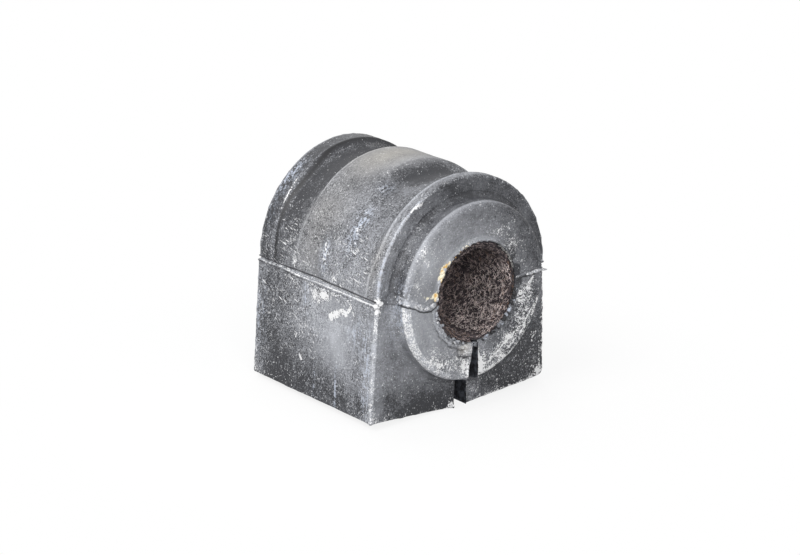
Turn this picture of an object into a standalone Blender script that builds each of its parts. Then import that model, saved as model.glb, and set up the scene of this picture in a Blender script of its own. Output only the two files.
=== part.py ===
# Sway bar bushing: a moulded rubber block with a domed top, a round boss on each
# end face, a bore for the bar and a slit underneath that lets it be pushed over
# the bar. A fibrous sleeve lines the bore and is open at the same slit.
#
# Metres, +Z up. X runs across the block, Y along the bore, and -Y is the front.
# The origin is on the base, in the middle of the block.

import math

import bmesh
import bpy

MM = 0.001

# Block
BLOCK_WIDTH = 50.0 * MM            # across the sides, at the parting line
BLOCK_LENGTH = 44.2 * MM           # between the two end faces, bosses not counted
PARTING_HEIGHT = 29.5 * MM         # from the lowest edge of the base to the parting line
SIDE_FLARE = 1.5 * MM              # each side stands out this much further at the base
BASE_RISE = 1.6 * MM               # outer base corners lie above the edges at the slit
BLOCK_EDGE_ROUND = 0.7 * MM        # round between an end face and the sides and dome

# Dome, with a flange at each end, a groove inside each flange and a band between
DOME_RADIUS = 25.9 * MM            # over the flanges
DOME_CENTRE_LIFT = 0.4 * MM        # centre of the dome above the parting line
FLANGE_WIDTH = 4.0 * MM
GROOVE_WIDTH = 11.2 * MM           # at its rims
GROOVE_DEPTH = 2.6 * MM            # at the crown, fading out towards the parting line
GROOVE_OUTER_WALL = 2.3 * MM       # length of the steep wall beside the flange
GROOVE_INNER_WALL = 4.6 * MM       # length of the slope beside the band
BAND_DROP = 0.3 * MM               # rim of the band below the flanges
BAND_CROWN = 0.1 * MM              # middle of the band above its rims
GROOVE_FADE_POWER = 1.5            # how fast the groove dies away down the sides

# Bosses, one on each end face, round the bore
BOSS_RADIUS = 20.9 * MM
BOSS_LENGTH = 4.7 * MM
BOSS_EDGE_ROUND = 1.3 * MM
BOSS_ROOT_FILLET = 1.6 * MM

# Bore and sleeve
BORE_RADIUS = 11.9 * MM            # in the rubber
BORE_DROP = 0.6 * MM               # axis of bore and bosses below the parting line
SLEEVE_CLEARANCE = 0.3 * MM        # between the sleeve and the rubber
SLEEVE_THICKNESS = 0.8 * MM
SLEEVE_SETBACK = 0.6 * MM          # ends of the sleeve inside the faces of the bosses

# Slit, from the bore down through the base
SLIT_WIDTH_AT_BORE = 1.4 * MM
SLIT_WIDTH_AT_BASE = 3.9 * MM

# Ridge that the mould leaves along its parting line, round the whole block
RIDGE_HEIGHT = 1.0 * MM
RIDGE_PROUD = 0.4 * MM

# Fineness of the curves
DOME_SEGMENTS = 48
SIDE_SEGMENTS = 8
BASE_SEGMENTS = 8                  # each half of the base
ROUND_SEGMENTS = 3
WALL_SEGMENTS = 4
BAND_SEGMENTS = 4
BORE_SEGMENTS = 72

# Colours and finish
RUBBER_COLOUR = (0.110, 0.112, 0.120, 1.0)
RUBBER_ROUGHNESS = 0.65
SLEEVE_COLOUR = (0.050, 0.032, 0.028, 1.0)
SLEEVE_ROUGHNESS = 0.95

# Worked out from the sizes above
HALF_WIDTH = BLOCK_WIDTH / 2
HALF_LENGTH = BLOCK_LENGTH / 2
END_FACE = HALF_LENGTH + BOSS_LENGTH
BORE_HEIGHT = PARTING_HEIGHT - BORE_DROP
DOME_CENTRE = PARTING_HEIGHT + DOME_CENTRE_LIFT
BASE_SLOPE = BASE_RISE / (HALF_WIDTH + SIDE_FLARE - SLIT_WIDTH_AT_BASE / 2)
KEEL_HEIGHT = -BASE_SLOPE * SLIT_WIDTH_AT_BASE / 2
CUTTER_MARGIN = 5.0 * MM


def smooth_step(t):
    """Rise from 0 to 1 with level ends."""
    t = min(max(t, 0.0), 1.0)
    return t * t * (3.0 - 2.0 * t)


def groove_depth(y):
    """Depth of the crown below the flanges at a place along the bore."""
    from_face = HALF_LENGTH - abs(y)
    into_groove = from_face - FLANGE_WIDTH
    to_band = FLANGE_WIDTH + GROOVE_WIDTH - from_face
    if into_groove <= 0.0:
        return 0.0
    if to_band <= 0.0:
        band_half = HALF_LENGTH - FLANGE_WIDTH - GROOVE_WIDTH
        level = 1.0 - (y / band_half) ** 2
        return BAND_DROP - BAND_CROWN * level
    outer = GROOVE_DEPTH * smooth_step(into_groove / GROOVE_OUTER_WALL)
    inner = BAND_DROP + (GROOVE_DEPTH - BAND_DROP) * smooth_step(to_band / GROOVE_INNER_WALL)
    return min(outer, inner)


def equal_angle_points(start, end, count):
    """Points on a straight line, spread evenly as seen from the bore's axis.

    The start is included and the end isn't.
    """
    first = math.atan2(start[1] - BORE_HEIGHT, start[0])
    last = math.atan2(end[1] - BORE_HEIGHT, end[0])
    turn = (last - first + math.pi) % (2 * math.pi) - math.pi
    along = (end[0] - start[0], end[1] - start[1])
    points = []
    for step in range(count):
        angle = first + turn * step / count
        look = (math.cos(angle), math.sin(angle))
        to_start = (start[0], start[1] - BORE_HEIGHT)
        across = along[0] * look[1] - along[1] * look[0]
        share = (to_start[1] * look[0] - to_start[0] * look[1]) / across
        points.append((start[0] + share * along[0], start[1] + share * along[1]))
    return points


def block_outline(y):
    """Outline of the block at a place along the bore, as (x, z) points.

    It starts at the keel and runs up the left side, over the dome and down again.
    """
    depth = groove_depth(y)
    foot = SIDE_FLARE + HALF_WIDTH
    keel = (0.0, KEEL_HEIGHT)
    points = equal_angle_points(keel, (-foot, BASE_RISE), BASE_SEGMENTS)
    points += equal_angle_points((-foot, BASE_RISE), (-HALF_WIDTH, PARTING_HEIGHT), SIDE_SEGMENTS)
    spring = math.asin(DOME_CENTRE_LIFT / DOME_RADIUS)
    sweep = math.pi + 2 * spring
    # the dome is drawn in slightly so that its foot meets the sides
    squeeze = HALF_WIDTH / (DOME_RADIUS * math.cos(spring))
    for step in range(DOME_SEGMENTS + 1):
        angle = math.pi + spring - sweep * step / DOME_SEGMENTS
        rise = max(math.sin(angle), 0.0)
        radius = DOME_RADIUS - depth * rise ** GROOVE_FADE_POWER
        width = squeeze + (1.0 - squeeze) * rise
        points.append((radius * width * math.cos(angle), DOME_CENTRE + radius * math.sin(angle)))
    points += equal_angle_points((HALF_WIDTH, PARTING_HEIGHT), (foot, BASE_RISE), SIDE_SEGMENTS)[1:]
    points += equal_angle_points((foot, BASE_RISE), keel, BASE_SEGMENTS)
    return points


def shrink(points, amount):
    """Draw an outline in towards the bore's axis by about the given amount."""
    drawn = []
    for x, z in points:
        reach = math.hypot(x, z - BORE_HEIGHT)
        share = (reach - amount) / reach
        drawn.append((x * share, BORE_HEIGHT + (z - BORE_HEIGHT) * share))
    return drawn


def ring(points, radius):
    """Circle round the bore's axis, with one point towards each outline point."""
    circle = []
    for x, z in points:
        angle = math.atan2(z - BORE_HEIGHT, x)
        circle.append((radius * math.cos(angle), BORE_HEIGHT + radius * math.sin(angle)))
    return circle


def quarter_steps(count, start=0):
    """Angles from 0 to a right angle, in equal steps."""
    return [math.pi / 2 * step / count for step in range(start, count + 1)]


def end_sections():
    """Outlines from the front boss's face to the first full outline of the block."""
    face_outline = block_outline(-HALF_LENGTH)
    sections = []
    for angle in quarter_steps(ROUND_SEGMENTS):
        radius = BOSS_RADIUS - BOSS_EDGE_ROUND * (1.0 - math.sin(angle))
        y = -END_FACE + BOSS_EDGE_ROUND * (1.0 - math.cos(angle))
        sections.append((y, ring(face_outline, radius)))
    for angle in quarter_steps(ROUND_SEGMENTS):
        radius = BOSS_RADIUS + BOSS_ROOT_FILLET * (1.0 - math.cos(angle))
        y = -HALF_LENGTH - BOSS_ROOT_FILLET * (1.0 - math.sin(angle))
        sections.append((y, ring(face_outline, radius)))
    for angle in quarter_steps(ROUND_SEGMENTS):
        inset = BLOCK_EDGE_ROUND * (1.0 - math.sin(angle))
        y = -HALF_LENGTH + BLOCK_EDGE_ROUND * (1.0 - math.cos(angle))
        sections.append((y, shrink(block_outline(y), inset)))
    return sections


def groove_stations():
    """Places along the front half of the dome where its height changes."""
    wall_start = -HALF_LENGTH + FLANGE_WIDTH
    band_start = wall_start + GROOVE_WIDTH
    stations = [-HALF_LENGTH + BLOCK_EDGE_ROUND + (FLANGE_WIDTH - BLOCK_EDGE_ROUND) / 2]
    for step in range(WALL_SEGMENTS + 1):
        stations.append(wall_start + GROOVE_OUTER_WALL * step / WALL_SEGMENTS)
    for step in range(WALL_SEGMENTS + 1):
        stations.append(band_start - GROOVE_INNER_WALL * (1.0 - step / WALL_SEGMENTS))
    for step in range(1, BAND_SEGMENTS // 2):
        stations.append(band_start * (1.0 - 2 * step / BAND_SEGMENTS))
    return stations


def mesh_object(name, mesh_data):
    """Put a bmesh into the scene as a named object."""
    bmesh.ops.recalc_face_normals(mesh_data, faces=mesh_data.faces)
    mesh = bpy.data.meshes.new(name)
    mesh_data.to_mesh(mesh)
    mesh_data.free()
    placed = bpy.data.objects.new(name, mesh)
    bpy.context.scene.collection.objects.link(placed)
    return placed


def loft(name, sections):
    """Closed body through outlines of equal point counts, given as (y, points)."""
    body = bmesh.new()
    loops = []
    for y, points in sections:
        loops.append([body.verts.new((x, y, z)) for x, z in points])
    for near, far in zip(loops, loops[1:]):
        for index, corner in enumerate(near):
            after = (index + 1) % len(near)
            body.faces.new((corner, near[after], far[after], far[index]))
    body.faces.new(loops[0])
    body.faces.new(loops[-1])
    return mesh_object(name, body)


def extrude_outline(name, outline, axis, low, high):
    """Closed prism: an outline of (a, b) points, extruded along Y or Z."""
    prism = bmesh.new()
    if axis == "Y":
        corners = [prism.verts.new((a, low, b)) for a, b in outline]
        move = (0.0, high - low, 0.0)
    else:
        corners = [prism.verts.new((a, b, low)) for a, b in outline]
        move = (0.0, 0.0, high - low)
    face = prism.faces.new(corners)
    grown = bmesh.ops.extrude_face_region(prism, geom=[face])
    moved = [item for item in grown["geom"] if isinstance(item, bmesh.types.BMVert)]
    bmesh.ops.translate(prism, vec=move, verts=moved)
    return mesh_object(name, prism)


def circle_outline(radius, segments):
    """Circle round the bore's axis, as (x, z) points."""
    turn = 2 * math.pi / segments
    return [(radius * math.cos(turn * step), BORE_HEIGHT + radius * math.sin(turn * step))
            for step in range(segments)]


def combine(target, other, operation):
    """Join or cut with another body, which stays behind as a hidden guide."""
    step = target.modifiers.new(other.name, "BOOLEAN")
    step.operation = operation
    step.solver = "EXACT"
    step.object = other
    other.hide_render = True
    other.display_type = "WIRE"


def finish_material(target, name, colour, roughness):
    """Give a body its own plain material."""
    material = bpy.data.materials.new(name)
    material.use_nodes = True
    shader = material.node_tree.nodes["Principled BSDF"]
    shader.inputs["Base Color"].default_value = colour
    shader.inputs["Roughness"].default_value = roughness
    shader.inputs["Metallic"].default_value = 0.0
    target.data.materials.append(material)


def shade(target, sharp_degrees):
    """Smooth shading, with edges above the given angle kept sharp."""
    target.data.shade_smooth()
    target.data.set_sharp_from_angle(angle=math.radians(sharp_degrees))


def slit_cutter():
    """Wedge that opens the bore downwards, wider at the base."""
    half_at_bore = SLIT_WIDTH_AT_BORE / 2
    half_at_base = SLIT_WIDTH_AT_BASE / 2
    bore_bottom = BORE_HEIGHT - BORE_RADIUS
    taper = (half_at_base - half_at_bore) / bore_bottom
    below = half_at_base + taper * CUTTER_MARGIN
    outline = [(-half_at_bore, BORE_HEIGHT), (-half_at_bore, bore_bottom), (-below, -CUTTER_MARGIN),
               (below, -CUTTER_MARGIN), (half_at_bore, bore_bottom), (half_at_bore, BORE_HEIGHT)]
    reach = END_FACE + CUTTER_MARGIN
    return extrude_outline("slit_cutter", outline, "Y", -reach, reach)


def parting_ridge():
    """Plate in the parting plane whose rim stands proud all round the body."""
    block_x = HALF_WIDTH + RIDGE_PROUD
    block_y = HALF_LENGTH + RIDGE_PROUD
    boss_x = BOSS_RADIUS + RIDGE_PROUD
    boss_y = END_FACE + RIDGE_PROUD
    corner = BOSS_EDGE_ROUND
    front = [(-boss_x, -block_y), (-boss_x, corner - boss_y), (corner - boss_x, -boss_y),
             (boss_x - corner, -boss_y), (boss_x, corner - boss_y), (boss_x, -block_y)]
    back = [(-x, -y) for x, y in front]
    outline = [(-block_x, -block_y)] + front + [(block_x, -block_y), (block_x, block_y)]
    outline += back + [(-block_x, block_y)]
    low = PARTING_HEIGHT - RIDGE_HEIGHT / 2
    return extrude_outline("parting_ridge", outline, "Z", low, low + RIDGE_HEIGHT)


def bore_cutter():
    """Round bar that cuts the bore right through both bosses."""
    reach = END_FACE + CUTTER_MARGIN
    outline = circle_outline(BORE_RADIUS, BORE_SEGMENTS)
    return extrude_outline("bore_cutter", outline, "Y", -reach, reach)


def rubber_body(slit):
    """The moulded block with its dome, grooves, flanges, bosses, bore and slit."""
    front = end_sections()
    front += [(y, block_outline(y)) for y in groove_stations()]
    back = [(-y, points) for y, points in reversed(front)]
    body = loft("rubber_body", front + [(0.0, block_outline(0.0))] + back)
    combine(body, parting_ridge(), "UNION")
    combine(body, bore_cutter(), "DIFFERENCE")
    combine(body, slit, "DIFFERENCE")
    finish_material(body, "rubber", RUBBER_COLOUR, RUBBER_ROUGHNESS)
    shade(body, 35)
    return body


def fabric_liner(slit):
    """The thin fibrous sleeve in the bore, open at the slit."""
    outer = BORE_RADIUS - SLEEVE_CLEARANCE
    inner = outer - SLEEVE_THICKNESS
    reach = END_FACE - SLEEVE_SETBACK
    sleeve = extrude_outline("fabric_liner", circle_outline(outer, BORE_SEGMENTS), "Y", -reach, reach)
    hollow = extrude_outline("liner_cutter", circle_outline(inner, BORE_SEGMENTS), "Y",
                             -END_FACE - CUTTER_MARGIN, END_FACE + CUTTER_MARGIN)
    combine(sleeve, hollow, "DIFFERENCE")
    combine(sleeve, slit, "DIFFERENCE")
    finish_material(sleeve, "fabric", SLEEVE_COLOUR, SLEEVE_ROUGHNESS)
    shade(sleeve, 35)
    return sleeve


for leftover in list(bpy.data.objects):
    bpy.data.objects.remove(leftover, do_unlink=True)

shared_slit = slit_cutter()
rubber_body(shared_slit)
fabric_liner(shared_slit)
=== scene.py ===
import math

import bmesh
import bpy
import numpy as np
from mathutils import Matrix, Vector


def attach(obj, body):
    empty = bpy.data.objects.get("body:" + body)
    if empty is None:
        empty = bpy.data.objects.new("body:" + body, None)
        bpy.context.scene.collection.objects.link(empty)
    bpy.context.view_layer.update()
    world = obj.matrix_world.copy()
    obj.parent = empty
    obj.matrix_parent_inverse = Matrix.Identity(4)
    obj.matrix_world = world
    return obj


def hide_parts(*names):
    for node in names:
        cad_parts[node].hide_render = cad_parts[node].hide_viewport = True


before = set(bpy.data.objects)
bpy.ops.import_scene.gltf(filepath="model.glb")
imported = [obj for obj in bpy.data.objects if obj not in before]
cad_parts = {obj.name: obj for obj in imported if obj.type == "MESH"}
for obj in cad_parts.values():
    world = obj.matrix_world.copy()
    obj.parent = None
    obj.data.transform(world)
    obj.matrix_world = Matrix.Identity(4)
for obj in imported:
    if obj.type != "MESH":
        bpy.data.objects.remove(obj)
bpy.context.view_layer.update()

# Lengths below are in millimetres, and MM turns them into metres.
# X runs across the block, Y along the bore with the front at -Y, and Z is up.
# Clock angles go round the bore's axis, seen from the front: 0 is straight down,
# 90 is the left side, 180 the crown and 270 the right side.
MM = 0.001

# Block, 0.3 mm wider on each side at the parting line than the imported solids
HALF_WIDTH = 25.3
HALF_LENGTH = 22.1
PARTING_HEIGHT = 29.5
SIDE_FLARE = 1.5
BASE_RISE = 1.6
BASE_RISE_AT_BACK = 1.3
SLIT_HALF_AT_BASE = 1.95
BASE_CORNER_ROUND = 0.5
END_EDGE_ROUND = 0.55

# Dome, a little lower at the front than at the back
DOME_RADIUS = 25.6
DOME_TAPER = 0.0193
DOME_CENTRE_LIFT = 0.35
FRONT_FLANGE = 2.9
BACK_FLANGE = 4.7
BACK_SHOULDER_DROP = 0.4
SEAM_STEP = 0.42
FRONT_GROOVE_DEPTH = 3.1
FRONT_FADE_POWER = 2.3
BACK_GROOVE_DEPTH = 2.4
BACK_FADE_POWER = 1.5
FRONT_WALL = 2.4
BACK_WALL = 2.0
BAND_FRONT = -5.3
BAND_BACK = 7.0
FRONT_SLOPE = 4.7
BACK_SLOPE = 2.6

# Bosses and bore
BORE_HEIGHT = 28.9
BORE_RADIUS = 11.9
BOSS_RADIUS = 20.9
BOSS_LENGTH = 4.7
BOSS_EDGE_ROUND = 1.3
BOSS_ROOT_FILLET = 1.6
LIP_ROUND = 0.4
END_FACE = HALF_LENGTH + BOSS_LENGTH
BOSS_FACE = -END_FACE
BLOCK_FACE = -HALF_LENGTH

# Liner
LINER_OUTER = 11.8
LINER_INNER = 10.8
LINER_SETBACK = 0.8
LINER_END = END_FACE - LINER_SETBACK

# Ridge along the mould's parting line
RIDGE_HALF_HEIGHT = 0.46
RIDGE_PROUD = 0.38

# Sections of the rubber's surface, from the bore lip out over the block
LIP, FACE, BOSS_EDGE, BOSS_SIDE, ROOT, END, BLOCK_EDGE, BODY, BORE = range(9)


def smooth(t):
    """Rise from 0 to 1 with level ends, for numbers or arrays."""
    t = np.clip(t, 0.0, 1.0)
    return t * t * (3.0 - 2.0 * t)


def hashed(ix, iy, iz, seed):
    """Repeatable random value between -1 and 1 for each whole-number lattice point."""
    mixed = ix * np.int64(73856093) ^ iy * np.int64(19349663) ^ iz * np.int64(83492791)
    mixed = (mixed ^ np.int64(seed * 2654435761 % 4294967296)) & np.int64(0xFFFFFFFF)
    mixed = ((mixed >> 16) ^ mixed) * np.int64(73244475) & np.int64(0xFFFFFFFF)
    mixed = ((mixed >> 16) ^ mixed) * np.int64(73244475) & np.int64(0xFFFFFFFF)
    mixed = (mixed >> 16) ^ mixed
    return (mixed & np.int64(0xFFFFFF)) / float(0xFFFFFF) * 2.0 - 1.0


def noise(points, size, seed=0):
    """Smooth value noise between -1 and 1, with lumps of about the given size."""
    scaled = points / size
    low = np.floor(scaled).astype(np.int64)
    part = smooth(scaled - low)
    total = np.zeros(len(points))
    for corner in range(8):
        step = np.array([corner & 1, corner >> 1 & 1, corner >> 2 & 1])
        weight = np.ones(len(points))
        for axis in range(3):
            weight = weight * (part[:, axis] if step[axis] else 1.0 - part[:, axis])
        at = low + step
        total += weight * hashed(at[:, 0], at[:, 1], at[:, 2], seed)
    return total


def rough(points, size, layers=3, seed=0):
    """Several layers of noise, each half the size and strength of the one before."""
    total = np.zeros(len(points))
    strength = 1.0
    for layer in range(layers):
        total += strength * noise(points, size / 2 ** layer, seed + 17 * layer)
        strength *= 0.5
    return total


def spot(points, centre, radii):
    """Soft patch, 1 at its centre and fading over the given radii along x, y and z."""
    away = ((points - np.array(centre)) / np.array(radii)) ** 2
    return np.exp(-away.sum(axis=1))


def patches(points, marks):
    """Sum of soft patches given as centre, radii and strength."""
    total = np.zeros(len(points))
    for centre, radii, strength in marks:
        total += strength * spot(points, centre, radii)
    return total


def streak(points, start, end, width):
    """Soft line between two places, 1 along its middle and 0 beyond its width."""
    start = np.array(start)
    along = np.array(end) - start
    share = np.clip((points - start) @ along / (along @ along), 0.0, 1.0)
    away = np.linalg.norm(points - start - share[:, None] * along, axis=1)
    return smooth(1.5 - away / width)


def streaks(points, marks):
    """Strongest of several soft lines given as start, end, width and strength."""
    total = np.zeros(len(points))
    for start, end, width, strength in marks:
        total = np.maximum(total, strength * streak(points, start, end, width))
    return total


def between(value, low, high, soft):
    """1 inside a range of values, falling to 0 over a soft margin outside it."""
    return smooth((value - low) / soft + 1.0) * smooth((high - value) / soft + 1.0)


def groove_depth(y):
    """Depth of the crown below the flanges at a place along the bore."""
    if y < 0.0:
        into_wall = (y + HALF_LENGTH - FRONT_FLANGE) / FRONT_WALL
        slope = float(smooth((BAND_FRONT - y) / FRONT_SLOPE))
    else:
        into_wall = (HALF_LENGTH - BACK_FLANGE - y) / BACK_WALL
        into_slope = min(max((y - BAND_BACK) / BACK_SLOPE, 0.0), 1.0)
        slope = 1.0 - (1.0 - into_slope) ** 2
    into_wall = min(max(into_wall, 0.0), 1.0)
    wall = 1.0 - (1.0 - into_wall) ** 2
    return (FRONT_GROOVE_DEPTH if y < 0.0 else BACK_GROOVE_DEPTH) * min(wall, slope)


def outline_points(y):
    """Closely spaced outline of the block's left half at a place along the bore, as x and z."""
    back_share = (y + HALF_LENGTH) / (2.0 * HALF_LENGTH)
    foot = np.array([HALF_WIDTH + SIDE_FLARE, BASE_RISE + (BASE_RISE_AT_BACK - BASE_RISE) * back_share])
    slope = foot[1] / (foot[0] - SLIT_HALF_AT_BASE)
    keel = np.array([0.0, -slope * SLIT_HALF_AT_BASE])
    shoulder = np.array([HALF_WIDTH, PARTING_HEIGHT])
    base_length = np.linalg.norm(keel - foot)
    side_length = np.linalg.norm(shoulder - foot)
    along_base = (keel - foot) / base_length
    along_side = (shoulder - foot) / side_length
    base = foot + np.outer(np.linspace(base_length, BASE_CORNER_ROUND, 60), along_base)
    bend = np.linspace(0.0, 1.0, 9)[1:-1, None]
    start = foot + along_base * BASE_CORNER_ROUND
    end = foot + along_side * BASE_CORNER_ROUND
    corner = (1 - bend) ** 2 * start + 2 * bend * (1 - bend) * foot + bend ** 2 * end
    side = foot + np.outer(np.linspace(BASE_CORNER_ROUND, side_length, 60), along_side)
    radius = DOME_RADIUS + DOME_TAPER * y
    spring = math.asin(DOME_CENTRE_LIFT / radius)
    squeeze = HALF_WIDTH / (radius * math.cos(spring))
    turn = np.linspace(-spring, math.pi / 2, 160)[1:]
    rise = np.clip(np.sin(turn), 0.0, 1.0)
    fade_power = FRONT_FADE_POWER if y < 0.0 else BACK_FADE_POWER
    shoulder = np.sin(2.0 * np.clip(turn, 0.0, math.pi / 2)) ** 2 * smooth((y - 4.0) / 14.0)
    reach = radius - groove_depth(y) * rise ** fade_power - BACK_SHOULDER_DROP * shoulder
    reach = reach - SEAM_STEP * np.cos(np.clip(turn, 0.0, math.pi / 2)) ** 4 * smooth((y + 16.0) / 14.0)
    width = squeeze + (1.0 - squeeze) * rise
    dome_x = reach * width * np.cos(turn)
    dome_z = PARTING_HEIGHT + DOME_CENTRE_LIFT + reach * np.sin(turn)
    return np.concatenate([base, corner, side, np.stack([dome_x, dome_z], axis=1)])


def outline_reach(clock, y):
    """Distance from the bore's axis to the outline, for clock angles in degrees."""
    points = outline_points(y)
    angle = np.degrees(np.arctan2(points[:, 0], BORE_HEIGHT - points[:, 1]))
    reach = np.hypot(points[:, 0], points[:, 1] - BORE_HEIGHT)
    return np.interp(np.minimum(clock, 360.0 - clock), angle, reach)


# Half-angles of the slit seen from the bore's axis, by distance from it. The left half
# of the boss has lost a little rubber beside the slit.
SLIT_REACH = np.array([11.0, 12.5, 14.4, 15.0, 17.0, 20.6, 21.5, 23.0, 29.0, 40.0])
SLIT_LEFT = np.array([2.6, 2.8, 3.1, 4.9, 6.1, 5.7, 5.0, 5.0, 4.4, 4.2])
SLIT_RIGHT = np.array([2.4, 2.4, 2.6, 2.7, 2.7, 2.6, 3.4, 3.7, 3.6, 3.6])
FIRST_CLOCK = 4.0
SLIT_SHIFT_SPREAD = 9.0


def spread(*runs):
    """Evenly spaced values through runs of (start, end, count), each shared end once."""
    values = []
    for start, end, count in runs:
        values.extend(np.linspace(start, end, count, endpoint=False))
    values.append(runs[-1][1])
    return np.array(values)


def clock_angles():
    """Clock angles from one edge of the slit round to the other, closest where detail is finest."""
    corner = math.degrees(math.atan2(HALF_WIDTH + SIDE_FLARE, BORE_HEIGHT - BASE_RISE))
    half = spread((FIRST_CLOCK, 4.8, 5), (4.8, 10.0, 8), (10.0, corner - 1.2, 33),
                  (corner - 1.2, corner + 1.2, 11), (corner + 1.2, 79.0, 35),
                  (79.0, 98.0, 56), (98.0, 180.0, 85))
    return np.concatenate([half, 360.0 - half[-2::-1]])


def opened(clock, reach):
    """Clock angles moved near the slit so that the edges lie where the slit opens."""
    left = np.interp(reach, SLIT_REACH, SLIT_LEFT) - FIRST_CLOCK
    right = np.interp(reach, SLIT_REACH, SLIT_RIGHT) - FIRST_CLOCK
    near_left = np.clip(1.0 - (clock - FIRST_CLOCK) / SLIT_SHIFT_SPREAD, 0.0, 1.0)
    near_right = np.clip(1.0 - (360.0 - clock - FIRST_CLOCK) / SLIT_SHIFT_SPREAD, 0.0, 1.0)
    return clock + left * near_left - right * near_right


def boss_rows(same, face_steps, edge_steps):
    """Rows of (reach, depth below the boss's face, kind) from the lip to the block's end."""
    rows = []
    for turn in np.linspace(0.0, math.pi / 2, 4):
        reach = BORE_RADIUS + LIP_ROUND * (1.0 - math.cos(turn))
        rows.append((same * reach, same * LIP_ROUND * (1.0 - math.sin(turn)), LIP))
    face_end = BOSS_RADIUS - BOSS_EDGE_ROUND
    for reach in np.linspace(BORE_RADIUS + LIP_ROUND, face_end, face_steps)[1:-1]:
        rows.append((same * reach, same * 0.0, FACE))
    for turn in np.linspace(0.0, math.pi / 2, edge_steps):
        reach = face_end + BOSS_EDGE_ROUND * math.sin(turn)
        rows.append((same * reach, same * BOSS_EDGE_ROUND * (1.0 - math.cos(turn)), BOSS_EDGE))
    for depth in np.linspace(BOSS_EDGE_ROUND, BOSS_LENGTH - BOSS_ROOT_FILLET, edge_steps)[1:-1]:
        rows.append((same * BOSS_RADIUS, same * depth, BOSS_SIDE))
    for turn in np.linspace(0.0, math.pi / 2, edge_steps):
        reach = BOSS_RADIUS + BOSS_ROOT_FILLET * (1.0 - math.cos(turn))
        rows.append((same * reach, same * (BOSS_LENGTH - BOSS_ROOT_FILLET * (1.0 - math.sin(turn))), ROOT))
    return rows


def end_rows(clock, y_end, steps, edge_steps):
    """Rows over the block's end face and round its edge, as (reach, distance inside the end, kind)."""
    inner = BOSS_RADIUS + BOSS_ROOT_FILLET
    outer = outline_reach(clock, y_end) - END_EDGE_ROUND
    rows = []
    for share in np.linspace(0.0, 1.0, steps)[1:-1]:
        rows.append((inner + (outer - inner) * share, 0.0, END))
    for turn in np.linspace(0.0, math.pi / 2, edge_steps):
        inset = END_EDGE_ROUND * (1.0 - math.cos(turn))
        rows.append((outer + END_EDGE_ROUND * math.sin(turn), inset, BLOCK_EDGE))
    return rows


def body_stations():
    """Places along the bore where the body's outline is taken, closest at the groove edges."""
    end = HALF_LENGTH - END_EDGE_ROUND
    return spread((-end, -19.7, 4), (-19.7, -18.6, 6), (-18.6, -16.8, 5), (-16.8, 6.4, 48), (6.4, 7.6, 6),
                  (7.6, 15.4, 14), (15.4, 16.9, 5), (16.9, 17.9, 6), (17.9, end, 7))[1:-1]


def rubber_rows(clock):
    """All rows of the rubber's surface, once round its section, as (reach, y, kind)."""
    same = np.ones_like(clock)
    rows = []
    for reach, depth, kind in boss_rows(same, 24, 7):
        rows.append((reach, depth - END_FACE, kind))
    for reach, inset, kind in end_rows(clock, -HALF_LENGTH, 20, 6):
        rows.append((reach, same * (inset - HALF_LENGTH), kind))
    for y in body_stations():
        rows.append((outline_reach(clock, y), same * y, BODY))
    for reach, inset, kind in reversed(end_rows(clock, HALF_LENGTH, 10, 5)):
        rows.append((reach, same * (HALF_LENGTH - inset), kind))
    for reach, depth, kind in reversed(boss_rows(same, 9, 4)):
        rows.append((reach, END_FACE - depth, kind))
    for y in (26.0, 24.0, 12.0, 0.0, -12.0, -22.0, -24.5, -25.8):
        rows.append((same * BORE_RADIUS, same * y, BORE))
    return rows


def grid_normals(grid):
    """Outward normals of a grid of points that is closed along its first direction."""
    along = np.roll(grid, -1, axis=0) - np.roll(grid, 1, axis=0)
    round_bore = np.gradient(grid, axis=1)
    normal = np.cross(along, round_bore)
    length = np.linalg.norm(normal, axis=2, keepdims=True)
    return normal / np.maximum(length, 1e-9)


def make_mesh(name, points, faces, attributes):
    """Mesh object from points in millimetres, with one value for each point in each attribute."""
    mesh = bpy.data.meshes.new(name)
    mesh.from_pydata((points * MM).tolist(), [], faces)
    for label, values in attributes.items():
        layer = mesh.attributes.new(label, "FLOAT", "POINT")
        layer.data.foreach_set("value", np.asarray(values, dtype=np.float32))
    mesh.update()
    mesh.shade_smooth()
    placed = bpy.data.objects.new(name, mesh)
    bpy.context.scene.collection.objects.link(placed)
    return placed


def grid_faces(rows, columns, closed_rows=True):
    """Quads of a grid that is closed along its rows."""
    faces = []
    for row in range(rows if closed_rows else rows - 1):
        after = (row + 1) % rows
        for column in range(columns - 1):
            faces.append((row * columns + column, row * columns + column + 1,
                          after * columns + column + 1, after * columns + column))
    return faces


# Front flash: height of its lower edge across the boss, left and right of the bore
LEFT_FLASH_X = np.array([-21.6, -18.6, -17.4, -15.9, -14.5, -13.4, -12.1])
LEFT_FLASH_Z = np.array([29.8, 28.9, 28.0, 27.4, 27.2, 27.3, 28.1])
RIGHT_FLASH_X = np.array([12.4, 14.2, 17.4, 19.6, 20.9])
RIGHT_FLASH_Z = np.array([29.6, 30.0, 30.15, 30.45, 30.0])
FLASH_PROUD = 0.6
LEFT_FLASH_INNER = -12.0
RIGHT_FLASH_INNER = 12.2
HAIR_DEPTH = 0.12

# Ring of flash round the bore's lower left lip, and the torn flap beside the slit
RING_REACH = 13.5
RING_PROUD = 0.35
FLAP_PROUD = 0.55
FLAP_LEFT = -4.9
FLAP_TOP = 18.5

# Painted shade line at the foot of the far flange: its place along the bore by clock angle
FAR_SHADE_CLOCK = np.array([98.0, 110.0, 125.0, 138.0, 150.0, 165.0, 180.0])
FAR_SHADE_Y = np.array([15.9, 16.6, 16.8, 16.4, 16.6, 17.4, 17.5])


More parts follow.
